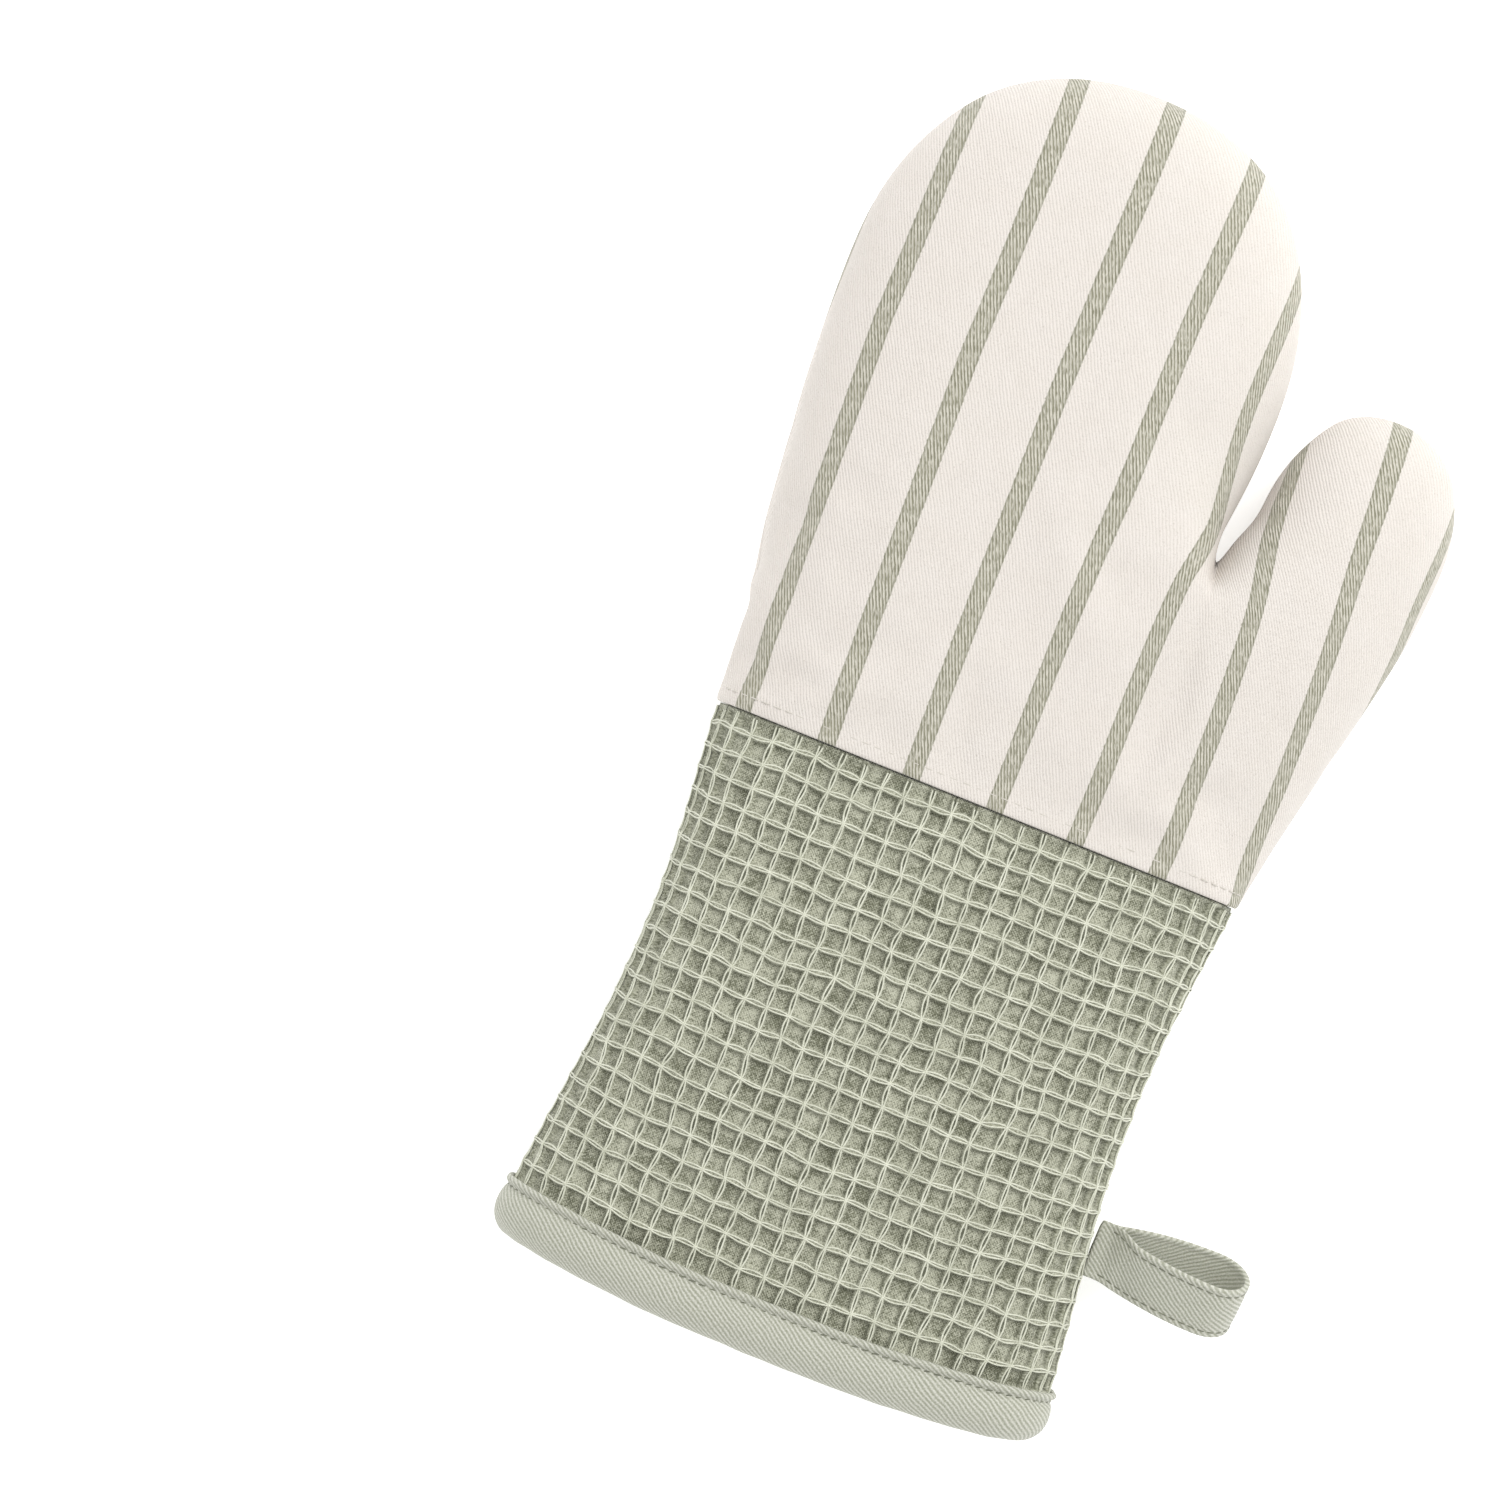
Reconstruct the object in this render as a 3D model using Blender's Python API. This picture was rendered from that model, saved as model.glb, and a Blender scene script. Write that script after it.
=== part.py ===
"""Oven mitt: a striped twill hand on a waffle cuff, wadded, lined, bound at the hem, with a tape hanging loop.

The mitt lies on its back, palm up. +Y runs from the hem to the finger tips and +X towards the thumb.
All cloth layers share one grid of points. The outer face is that grid puffed up from the seam plane, and
each layer below it is the outer face moved inwards along its normals, split at the seam into palm and back.
"""

import math

import bpy
import numpy as np

MM = 0.001
GAP = 0.3 * MM  # clearance left between pieces that touch

# Outline, measured in the flat: x from the middle of the hem, y from the hem
LENGTH = 330 * MM
CUFF_LENGTH = 145 * MM
HEM_WIDTH = 150 * MM
WAIST_WIDTH = 134 * MM  # narrowest part of the cuff
SEAM_WIDTH = 142 * MM  # where the striped hand joins the cuff
HEM_BOW = 5 * MM  # how far the middle of the hem stands past its corners
FINGERS_WIDTH = 117.5 * MM
FINGERS_X = -24 * MM  # middle of the finger pocket
FINGERS_ROUND = 64 * MM  # length of the rounded finger end
THUMB_WIDTH = 48.5 * MM
THUMB_X = 64.2 * MM
THUMB_REACH = 276 * MM  # hem to thumb tip
THUMB_ROUND = 33 * MM
CROTCH_X = 33.8 * MM
CROTCH_Y = 223 * MM
SLOT_WIDTH = 4.4 * MM  # between fingers and thumb at the bending line
BEND_ABOVE_CROTCH = 9 * MM  # the bending line of fingers and thumb

# Thickness
BACK_DEPTH = 16 * MM  # seam plane above the surface it lies on
PALM_DEPTH = 24 * MM  # crown of the palm above the seam plane
HEM_DEPTH = 18 * MM  # crown of the mouth above the seam plane
PALM_ROUND = 46 * MM  # width of the rounded edge, palm side
BACK_ROUND = 22 * MM  # width of the rounded edge, back
TWILL = 1.2 * MM
WAFFLE = 2.0 * MM
WADDING_FACE = 4.6 * MM  # depth of the wadding's inner face under the outer face
LINING = 1.0 * MM

# Hem binding, stitching and hanging loop
BINDING_WIDTH = 13 * MM
BINDING_INSIDE = 11 * MM
BINDING_TAPE = 1.4 * MM
BINDING_STITCH = 10.8 * MM  # stitch line above the hem
GROOVE = 0.85 * MM
THREAD = 0.44 * MM  # thread diameter
SEAM_STITCH = 4 * MM  # topstitch above the cuff seam
LOOP_Y = 51.3 * MM
LOOP_REACH = 38.5 * MM
LOOP_TAPE = 15.2 * MM
LOOP_THICK = 1.7 * MM
LOOP_GAP = 16 * MM  # between the middles of the two legs
LOOP_TAB = 6 * MM
LOOP_TWIST = math.radians(28)
LOOP_STITCH_INSET = 1.6 * MM

# Grid of the cloth
FINGER_COLUMNS = 8
THUMB_COLUMNS = 4
CUFF_ROWS = 8
PALM_ROWS = 6
FINGER_ROWS = 7
THUMB_ROWS = 4
EDGE_CROWDING = 0.6  # 0 for even columns, towards 1 to gather them at the sides
TIP_CROWDING = 0.35  # the same for rows towards the tips

BEND_Y = CROTCH_Y + BEND_ABOVE_CROTCH
LINING_FACE = WADDING_FACE + GAP + LINING
UNDER_BINDING = GAP + BINDING_TAPE
UNDER_STITCH = GAP + THREAD + GAP


# ---------------------------------------------------------------- outline


def edge_curve(points, last_slope=0.0):
    """A function x(y): a smooth cubic through (y, x) points that ends with the given slope."""
    ys, xs = np.array(points).T
    slopes = np.gradient(xs, ys)
    slopes[-1] = last_slope

    def at(y):
        i = int(np.clip(np.searchsorted(ys, y) - 1, 0, len(ys) - 2))
        span = ys[i + 1] - ys[i]
        s = (y - ys[i]) / span
        start = (1 + 2 * s) * (1 - s) ** 2 * xs[i] + s * (1 - s) ** 2 * span * slopes[i]
        return start + s * s * (3 - 2 * s) * xs[i + 1] - s * s * (1 - s) * span * slopes[i + 1]

    return at


FINGERS_SHOULDER = LENGTH - FINGERS_ROUND
THUMB_SHOULDER = THUMB_REACH - THUMB_ROUND
CUFF_EDGE = [(0, HEM_WIDTH / 2), (CUFF_LENGTH * 0.66, WAIST_WIDTH / 2), (CUFF_LENGTH, SEAM_WIDTH / 2)]
left_edge = edge_curve(
    [(y, -x) for y, x in CUFF_EDGE] + [(FINGERS_SHOULDER, FINGERS_X - FINGERS_WIDTH / 2)]
)
right_edge = edge_curve(CUFF_EDGE + [(THUMB_SHOULDER, THUMB_X + THUMB_WIDTH / 2)])
finger_inner_edge = edge_curve(
    [(BEND_Y, CROTCH_X - SLOT_WIDTH / 2), (FINGERS_SHOULDER, FINGERS_X + FINGERS_WIDTH / 2)]
)
thumb_inner_edge = edge_curve(
    [(BEND_Y, CROTCH_X + SLOT_WIDTH / 2), (THUMB_SHOULDER, THUMB_X - THUMB_WIDTH / 2)]
)


def round_end(x, y, width, rise, start, end, power=2.2):
    """Points of a superellipse end, its shoulders at height y, between two angles in degrees."""
    turn = np.radians(np.linspace(start, end, 60))
    across = np.sign(np.cos(turn)) * np.abs(np.cos(turn)) ** (2 / power)
    along = np.abs(np.sin(turn)) ** (2 / power)
    return np.stack([x + width / 2 * across, y + rise * along], axis=1)


def side(edge, low, high):
    return np.array([(edge(y), y) for y in np.linspace(low, high, 60)])


def across_shares(columns):
    """Shares of a width from 0 to 1, closer together at its two rounded edges."""
    s = np.linspace(0, 1, columns + 1)
    return s - EDGE_CROWDING * np.sin(2 * np.pi * s) / (2 * np.pi)


def along_shares(rows):
    """Shares of a length from 0 to 1, closer together at its rounded tip."""
    t = np.linspace(0, 1, rows + 1)
    return t + TIP_CROWDING * np.sin(np.pi * t) / np.pi


def spaced(points, shares):
    """The polyline's points at the given shares of its length."""
    steps = np.concatenate([[0], np.cumsum(np.linalg.norm(np.diff(points, axis=0), axis=1))])
    return np.stack([np.interp(shares * steps[-1], steps, points[:, k]) for k in (0, 1)], axis=1)


def filled(bottom, top, left, right, across, along):
    """A grid of points between four sides that share corners, as rows from bottom to top."""
    s = across[None, :, None]
    t = along[:, None, None]
    ruled = (1 - t) * bottom[None] + t * top[None] + (1 - s) * left[:, None] + s * right[:, None]
    corners = (1 - s) * (1 - t) * bottom[0] + s * (1 - t) * bottom[-1]
    return ruled - corners - (1 - s) * t * top[0] - s * t * top[-1]


def digit_grid(bottom, outer, inner, x, shoulder, width, rise, rows, outer_is_left):
    """Grid of the finger or thumb pocket above the bending line."""
    left_side, right_side = (outer, inner) if outer_is_left else (inner, outer)
    across, along = across_shares(len(bottom) - 1), along_shares(rows)
    left = np.concatenate(
        [side(left_side, BEND_Y, shoulder), round_end(x, shoulder, width, rise, 180, 132)]
    )
    right = np.concatenate(
        [side(right_side, BEND_Y, shoulder), round_end(x, shoulder, width, rise, 0, 48)]
    )
    top = round_end(x, shoulder, width, rise, 132, 48)
    return filled(bottom, spaced(top, across), spaced(left, along), spaced(right, along), across, along)


# ---------------------------------------------------------------- the shared grid


class Grid:
    """Points in the seam plane, four-sided cells with their region, and the cloth's outline."""

    def __init__(self):
        self.points, self.cells = [], []
        rows = self.palm_rows()
        fingers_base = self.row(BEND_Y, left_edge(BEND_Y), finger_inner_edge(BEND_Y), FINGER_COLUMNS)
        thumb_base = self.row(BEND_Y, thumb_inner_edge(BEND_Y), right_edge(BEND_Y), THUMB_COLUMNS)
        fingers = digit_grid(
            fingers_base, left_edge, finger_inner_edge, FINGERS_X, FINGERS_SHOULDER,
            FINGERS_WIDTH, FINGERS_ROUND, FINGER_ROWS, True,
        )
        thumb = digit_grid(
            thumb_base, right_edge, thumb_inner_edge, THUMB_X, THUMB_SHOULDER,
            THUMB_WIDTH, THUMB_ROUND, THUMB_ROWS, False,
        )
        palm_ids = [self.add(row) for row in rows]
        self.rim_rows = palm_ids[:2]
        self.seam_row = palm_ids[CUFF_ROWS]
        self.stitch_row = palm_ids[CUFF_ROWS + 1]
        finger_ids = [self.add(row) for row in fingers]
        thumb_ids = [self.add(row) for row in thumb]
        self.bend_row = finger_ids[0] + thumb_ids[0]
        self.link(palm_ids[: CUFF_ROWS + 1], "cuff")
        self.link(palm_ids[CUFF_ROWS:], "palm")
        self.link([palm_ids[-1][: FINGER_COLUMNS + 1], finger_ids[0]], "palm")
        self.link([palm_ids[-1][FINGER_COLUMNS:], thumb_ids[0]], "palm")
        self.link(finger_ids, "fingers")
        self.link(thumb_ids, "thumb")
        self.points = np.array(self.points)

    def row(self, y, start, end, columns):
        x = start + (end - start) * across_shares(columns)
        return np.stack([x, np.full(columns + 1, y)], axis=1)

    def palm_rows(self):
        """Rows from the hem to the crotch; the second one lies under the top edge of the binding."""
        cuff = np.linspace(BINDING_WIDTH, CUFF_LENGTH, CUFF_ROWS)
        crotch_share = (CROTCH_X - left_edge(CROTCH_Y)) / (right_edge(CROTCH_Y) - left_edge(CROTCH_Y))
        share = np.concatenate(
            [
                crotch_share * across_shares(FINGER_COLUMNS),
                crotch_share + (1 - crotch_share) * across_shares(THUMB_COLUMNS)[1:],
            ]
        )
        rows = []
        for y in [*cuff, *np.linspace(CUFF_LENGTH, CROTCH_Y, PALM_ROWS + 1)[1:]]:
            x = left_edge(y) + (right_edge(y) - left_edge(y)) * share
            bow = HEM_BOW * (1 - (2 * share - 1) ** 2) * max(0, 1 - y / CUFF_LENGTH) ** 1.5
            rows.append(np.stack([x, y - bow], axis=1))
        return [rows[0] - (0, BINDING_WIDTH), *rows]

    def add(self, points):
        start = len(self.points)
        self.points.extend(points)
        return list(range(start, len(self.points)))

    def link(self, rows, region):
        for low, high in zip(rows, rows[1:]):
            for i in range(len(low) - 1):
                self.cells.append((region, (low[i], low[i + 1], high[i + 1], high[i])))

    def outline_edges(self, hem=True):
        """Edges that only one cell has, in that cell's direction."""
        counts = {}
        for _, cell in self.cells:
            for a, b in zip(cell, cell[1:] + cell[:1]):
                counts[a, b] = counts.get((a, b), 0) + 1
        open_edges = [edge for edge in counts if edge[::-1] not in counts]
        at_hem = set(self.rim_rows[0])
        return [e for e in open_edges if hem or not (e[0] in at_hem and e[1] in at_hem)]


def distance_to_edges(points, edges, everything):
    """Distance from each point to the nearest of the edges."""
    a = everything[[edge[0] for edge in edges]]
    along = everything[[edge[1] for edge in edges]] - a
    offset = points[:, None] - a[None]
    share = np.clip((offset * along).sum(2) / (along**2).sum(1), 0, 1)
    return np.linalg.norm(offset - share[..., None] * along[None], axis=2).min(axis=1)


def quarter_round(distance, width):
    """0 at the seam, rising as a quarter circle to 1 at the given width."""
    return np.sqrt(1 - (1 - np.clip(distance / width, 0, 1)) ** 2)


class Face:
    """The outer face of the palm side or of the back, and its inward normals."""

    def __init__(self, grid, palm):
        self.grid, self.palm = grid, palm
        distance = distance_to_edges(grid.points, grid.outline_edges(hem=False), grid.points)
        if palm:
            y = grid.points[:, 1]
            opening = np.clip(1 - y / CUFF_LENGTH, 0, 1) ** 2
            crown = PALM_DEPTH + (HEM_DEPTH - PALM_DEPTH) * opening
            height = BACK_DEPTH + GAP / 2 + crown * quarter_round(distance, PALM_ROUND)
        else:
            floor = np.zeros(len(distance))
            floor[grid.rim_rows[0] + grid.rim_rows[1]] = UNDER_BINDING
            floor[grid.seam_row + grid.stitch_row] = UNDER_STITCH
            sunk = BACK_DEPTH - GAP / 2 - floor
            height = floor + sunk * (1 - quarter_round(distance, BACK_ROUND))
        hem, under_binding = grid.rim_rows
        height[hem] = height[under_binding]
        self.points = np.column_stack([grid.points, height])
        self.normals = self.find_normals()

    def find_normals(self):
        """Unit normals pointing out of the cloth, level along the seam and square to the open ends."""
        normals = np.zeros_like(self.points)
        for _, cell in self.grid.cells:
            p = self.points[list(cell)]
            turned = np.cross(p[2] - p[0], p[3] - p[1])
            normals[list(cell)] += turned if self.palm else -turned
        outward = np.zeros_like(self.points)
        for a, b in self.grid.outline_edges(hem=False):
            along = self.points[b] - self.points[a]
            level = np.array([along[1], -along[0], 0]) / np.hypot(along[0], along[1])
            outward[a] += level
            outward[b] += level
        seam = np.abs(outward).sum(1) > 0
        normals[seam] = outward[seam]
        hem, under_binding = self.grid.rim_rows
        normals[under_binding + self.grid.bend_row, 1] = 0
        normals[hem] = normals[under_binding]
        return normals / np.linalg.norm(normals, axis=1)[:, None]

    def splits_first(self, cell):
        """Whether a cell is split from its first corner: along the diagonal that stands further out."""
        out = np.abs(self.points[list(cell), 2] - BACK_DEPTH)
        return out[0] + out[2] >= out[1] + out[3]

    def at(self, depth):
        return self.points - self.normals * np.reshape(depth, (-1, 1))


# ---------------------------------------------------------------- pieces


def material(name, colour, roughness):
    made = bpy.data.materials.new(name)
    made.use_nodes = True
    shader = made.node_tree.nodes["Principled BSDF"]
    shader.inputs["Base Color"].default_value = (*colour, 1)
    shader.inputs["Roughness"].default_value = roughness
    shader.inputs["Metallic"].default_value = 0.0
    return made


def place(name, mesh, finish):
    mesh.materials.append(finish)
    made = bpy.data.objects.new(name, mesh)
    bpy.context.scene.collection.objects.link(made)
    return made


def solid(name, points, faces, finish):
    mesh = bpy.data.meshes.new(name)
    mesh.from_pydata([tuple(p) for p in points], [], faces)
    mesh.validate()
    return place(name, mesh, finish)


def nudge(points, grid, regions):
    """Half a gap of clearance on the rows where one region's cloth meets the next one's."""
    moved = points.copy()
    if regions == {"cuff"}:
        moved[grid.seam_row, 1] -= GAP / 2
    if regions == {"palm"}:
        moved[grid.seam_row, 1] += GAP / 2
    to_tip = regions <= {"fingers", "thumb"}
    moved[grid.bend_row, 1] += GAP / 2 if to_tip else -GAP / 2
    return moved


def shell(name, face, regions, outer_depth, inner_depth, finish):
    """One layer of cloth over the named regions, between two depths under the outer face."""
    grid = face.grid
    cells = [cell for region, cell in grid.cells if region in regions]
    used = sorted({v for cell in cells for v in cell})
    index = {v: i for i, v in enumerate(used)}
    count = len(used)
    outer = nudge(face.at(outer_depth), grid, regions)[used]
    inner = nudge(face.at(inner_depth), grid, regions)[used]
    faces, sides = [], {}
    for cell in cells:
        a, b, c, d = (index[v] for v in cell)
        for three in ((a, b, c), (a, c, d)) if face.splits_first(cell) else ((a, b, d), (b, c, d)):
            lower = tuple(v + count for v in reversed(three))
            faces += [three, lower] if face.palm else [three[::-1], lower[::-1]]
        for edge in ((a, b), (b, c), (c, d), (d, a)):
            sides[edge] = True
    for a, b in sides:
        if (b, a) not in sides:
            wall = (a, a + count, b + count, b)
            faces.append(wall if face.palm else wall[::-1])
    return solid(name, np.concatenate([outer, inner]), faces, finish)


def rim(palm_face, back_face, share, depth, drop=0.0):
    """Closed loop of points round the mouth, a share of the way up the binding, at a depth."""
    loops = []
    for face in (palm_face, back_face):
        moved = face.at(depth)
        low, high = (moved[row] for row in face.grid.rim_rows)
        loops.append(low + (high - low) * share)
    palm, back = loops
    for end in (0, -1):
        palm[end] = (palm[end] + back[end]) / 2
    loop = np.concatenate([palm, back[-2:0:-1]])
    loop[:, 1] -= drop
    return loop


def hem_binding(palm_face, back_face, finish):
    """Folded tape that holds the edges of all layers, with a groove where its stitching pulls in."""
    out, inside = -GAP - BINDING_TAPE, LINING_FACE + GAP
    stitch = BINDING_STITCH / BINDING_WIDTH
    half_groove, shoulder = 0.6 * MM / BINDING_WIDTH, 1.0 * MM / BINDING_WIDTH
    section = [
        (1, -GAP, 0),
        (1, out, 0),
        (stitch + shoulder, out, 0),
        (stitch + half_groove, out + GROOVE, 0),
        (stitch - half_groove, out + GROOVE, 0),
        (stitch - shoulder, out, 0),
        (0, out, GAP + BINDING_TAPE),
        (0, inside + BINDING_TAPE, GAP + BINDING_TAPE),
        (BINDING_INSIDE / BINDING_WIDTH, inside + BINDING_TAPE, 0),
        (BINDING_INSIDE / BINDING_WIDTH, inside, 0),
        (0, inside, GAP),
        (0, -GAP, GAP),
    ]
    loops = [rim(palm_face, back_face, *corner) for corner in section]
    turn = len(loops[0])
    faces = []
    for j in range(len(section)):
        k = (j + 1) % len(section)
        for i in range(turn):
            n = (i + 1) % turn
            a, b, c, d = j * turn + i, j * turn + n, k * turn + n, k * turn + i
            faces += [(a, b, c), (a, c, d)]
    return solid("hem_binding", np.concatenate(loops), faces, finish)


def thread(name, points, closed, finish):
    """A row of stitching as one thread along the points."""
    curve = bpy.data.curves.new(name, "CURVE")
    curve.dimensions = "3D"
    curve.bevel_depth = THREAD / 2
    curve.bevel_resolution = 1
    curve.use_fill_caps = True
    spline = curve.splines.new("POLY")
    spline.points.add(len(points) - 1)
    for point, place_at in zip(spline.points, points):
        point.co = (*place_at, 1)
    spline.use_cyclic_u = closed
    return place(name, curve, finish)


def seam_stitching(palm_face, back_face, finish):
    """Topstitching on the striped cloth, just above the cuff seam, on both sides of the mitt."""
    depth = -(GAP + THREAD / 2)
    row_step = (CROTCH_Y - CUFF_LENGTH) / PALM_ROWS
    for name, face in (("cuff_seam_stitching_palm", palm_face), ("cuff_seam_stitching_back", back_face)):
        moved = face.at(depth)
        low, high = moved[face.grid.seam_row], moved[face.grid.stitch_row]
        thread(name, low + (high - low) * SEAM_STITCH / row_step, False, finish)


def loop_path():
    """Middle line of the loop's tape, from the tab along one leg, round the fold and back: (out, up)."""
    half = LOOP_GAP / 2
    fold = LOOP_REACH - LOOP_THICK / 2 - half
    opening = fold * 0.72
    leg = []
    for out in np.linspace(LOOP_TAB, fold, 9)[:-1]:
        s = min((out - LOOP_TAB) / (opening - LOOP_TAB), 1)
        leg.append((out, LOOP_THICK / 2 + (half - LOOP_THICK / 2) * s * s * (3 - 2 * s)))
    turn = np.radians(np.linspace(90, -90, 9))
    bend = np.stack([fold + half * np.cos(turn), half * np.sin(turn)], axis=1)
    upper = np.array(leg)
    return np.concatenate([upper, bend, upper[::-1] * (1, -1)])


def offset_path(path, distance):
    """The path moved sideways, outwards for a positive distance."""
    along = np.gradient(path, axis=0)
    outward = np.stack([-along[:, 1], along[:, 0]], axis=1)
    return path + distance * outward / np.linalg.norm(outward, axis=1)[:, None]


class LoopPlace:
    """Turns (out, up, across) on the hanging loop into places beside the cuff's thumb-side seam."""

    def __init__(self):
        reach = [right_edge(LOOP_Y + side * LOOP_TAPE / 2) for side in (-1, 0, 1)]
        self.root = np.array([max(reach) + GAP + LOOP_THICK + GAP, LOOP_Y, BACK_DEPTH])

    def __call__(self, out, up, across):
        share = np.clip(out / (LOOP_REACH * 0.7), 0, 1)
        turn = LOOP_TWIST * share * share * (3 - 2 * share)
        along = across * math.cos(turn) - up * math.sin(turn)
        lift = across * math.sin(turn) + up * math.cos(turn)
        return self.root + (out, along, lift)


def hanging_loop(finish, thread_finish):
    """Folded tape, its two ends joined in a tab at the side seam, with stitching along both edges."""
    put = LoopPlace()
    path = loop_path()
    outer = offset_path(path, LOOP_THICK / 2)
    inner = offset_path(path, -LOOP_THICK / 2)
    inner[[0, -1]] = (LOOP_TAB, 0)
    turn = np.radians([120, 180, 240])
    root = np.stack([LOOP_THICK * np.cos(turn), LOOP_THICK * np.sin(turn)], axis=1)
    tab_root = np.concatenate([root[::-1], [(0, LOOP_THICK)]])
    outline = np.concatenate([[(0, -LOOP_THICK)], tab_root, outer])
    hole = inner[:-1]
    count, holes = len(outline), len(hole)
    points = [put(*p, across) for across in (-LOOP_TAPE / 2, LOOP_TAPE / 2) for p in [*outline, *hole]]
    layer = count + holes
    faces = []
    for i in range(count):
        a, b = i, (i + 1) % count
        faces += [(a, a + layer, b), (b, a + layer, b + layer)]
    for i in range(holes):
        a, b = count + i, count + (i + 1) % holes
        faces += [(a, b, a + layer), (b, b + layer, a + layer)]
    first = count - len(outer)
    flat = []
    for i in range(len(outer) - 1):
        a, b = first + i, first + i + 1
        c, d = count + (i + 1) % holes, count + i
        flat += [(a, b, c), (a, c, d)]
    root_face = [count, count - 1, *range(first), first]
    flat += [(root_face[0], root_face[i], root_face[i + 1]) for i in range(1, len(root_face) - 1)]
    for a, b, c in flat:
        faces += [(a, b, c), (a + layer, c + layer, b + layer)]
    solid("hanging_loop", points, faces, finish)
    rise = LOOP_THICK / 2 + GAP + THREAD / 2
    for name, across in (("loop_stitching_hem_side", -1), ("loop_stitching_finger_side", 1)):
        line = offset_path(path, rise)
        at = across * (LOOP_TAPE / 2 - LOOP_STITCH_INSET)
        thread(name, [put(*p, at) for p in line], False, thread_finish)


def face_outwards(objects):
    """Turn each mesh's faces outwards, so that its volume is positive."""
    for made in objects:
        if made.type != "MESH":
            continue
        volume = 0.0
        for polygon in made.data.polygons:
            corners = [made.data.vertices[v].co for v in polygon.vertices]
            for b, c in zip(corners[1:], corners[2:]):
                volume += corners[0].dot(b.cross(c))
        if volume < 0:
            made.data.flip_normals()


def centre(objects):
    """Put the middle of the whole mitt over the origin, on z = 0."""
    bpy.context.view_layer.update()
    graph = bpy.context.evaluated_depsgraph_get()
    low, high = np.full(3, 1e9), np.full(3, -1e9)
    for made in objects:
        mesh = made.evaluated_get(graph).to_mesh()
        for vertex in mesh.vertices:
            low, high = np.minimum(low, vertex.co), np.maximum(high, vertex.co)
    shift = -(low + high) / 2
    shift[2] = -low[2]
    for made in objects:
        if made.type == "CURVE":
            for point in made.data.splines[0].points:
                point.co = (*(np.array(point.co[:3]) + shift), 1)
        else:
            for vertex in made.data.vertices:
                vertex.co = np.array(vertex.co) + shift
    return shift


def main():
    for made in list(bpy.context.scene.objects):
        bpy.data.objects.remove(made, do_unlink=True)
    stripes = material("striped_cotton_twill", (0.80, 0.77, 0.72), 0.9)
    waffle = material("sage_waffle_cotton", (0.40, 0.41, 0.33), 0.95)
    batting = material("polyester_wadding", (0.85, 0.85, 0.83), 1.0)
    lining = material("cotton_lining", (0.82, 0.80, 0.74), 0.95)
    tape = material("sage_twill_tape", (0.48, 0.49, 0.40), 0.9)
    cream_thread = material("cream_thread", (0.83, 0.80, 0.74), 0.7)
    sage_thread = material("sage_thread", (0.45, 0.46, 0.38), 0.7)

    grid = Grid()
    palm_face, back_face = Face(grid, palm=True), Face(grid, palm=False)
    cuff_points = {v for region, cell in grid.cells if region == "cuff" for v in cell}
    under_cloth = np.full(len(grid.points), TWILL + GAP)
    under_cloth[sorted(cuff_points)] = WAFFLE + GAP
    under_wadding = WADDING_FACE + GAP

    for word, face in (("palm", palm_face), ("back", back_face)):
        cuff, palm, fingers, thumb = {"cuff"}, {"palm"}, {"fingers"}, {"thumb"}
        shell(f"cuff_{word}_panel", face, cuff, 0, WAFFLE, waffle)
        shell(f"hand_{word}_panel", face, palm, 0, TWILL, stripes)
        shell(f"hand_{word}_wadding", face, cuff | palm, under_cloth, WADDING_FACE, batting)
        shell(f"hand_{word}_lining", face, cuff | palm, under_wadding, LINING_FACE, lining)
        for part, region in (("fingers", fingers), ("thumb", thumb)):
            shell(f"{part}_{word}_panel", face, region, 0, TWILL, stripes)
            shell(f"{part}_{word}_wadding", face, region, TWILL + GAP, WADDING_FACE, batting)
            shell(f"{part}_{word}_lining", face, region, under_wadding, LINING_FACE, lining)

    hem_binding(palm_face, back_face, tape)
    groove_thread = -GAP - BINDING_TAPE + GROOVE - GAP - THREAD / 2
    stitch_loop = rim(palm_face, back_face, BINDING_STITCH / BINDING_WIDTH, groove_thread)
    thread("binding_stitching", stitch_loop, True, sage_thread)
    seam_stitching(palm_face, back_face, cream_thread)
    hanging_loop(tape, sage_thread)

    made = list(bpy.context.scene.objects)
    face_outwards(made)
    centre(made)


main()
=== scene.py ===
"""Looks of the oven mitt: striped twill hand, waffle cuff, bound hem and hanging loop.

The mitt lies on its back, palm up. All cloth layers share one grid of points in the seam plane. The outer
face is that grid puffed up on each side, and each layer below it is the outer face moved inwards along its
normals. Plans are drawn from the middle of the hem: x towards the thumb, y towards the finger tips.
"""

import math
from functools import partial

import bmesh
import bpy
import numpy as np
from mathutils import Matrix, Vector


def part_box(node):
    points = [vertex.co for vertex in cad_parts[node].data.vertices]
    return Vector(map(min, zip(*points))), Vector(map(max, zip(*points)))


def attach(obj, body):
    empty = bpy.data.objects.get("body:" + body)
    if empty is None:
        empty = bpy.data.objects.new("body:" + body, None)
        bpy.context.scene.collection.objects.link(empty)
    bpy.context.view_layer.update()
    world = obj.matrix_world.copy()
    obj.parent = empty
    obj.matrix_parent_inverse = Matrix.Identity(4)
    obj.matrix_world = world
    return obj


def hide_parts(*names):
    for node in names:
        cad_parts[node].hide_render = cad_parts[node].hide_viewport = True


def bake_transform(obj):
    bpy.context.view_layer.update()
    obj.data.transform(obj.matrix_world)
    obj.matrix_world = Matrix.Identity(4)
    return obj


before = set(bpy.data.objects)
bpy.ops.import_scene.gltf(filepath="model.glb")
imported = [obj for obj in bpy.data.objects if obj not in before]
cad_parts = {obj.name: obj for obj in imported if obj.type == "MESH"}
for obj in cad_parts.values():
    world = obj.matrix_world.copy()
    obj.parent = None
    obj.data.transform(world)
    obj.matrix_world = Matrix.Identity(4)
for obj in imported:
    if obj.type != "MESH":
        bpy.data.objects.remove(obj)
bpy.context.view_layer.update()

MM = 0.001

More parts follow.
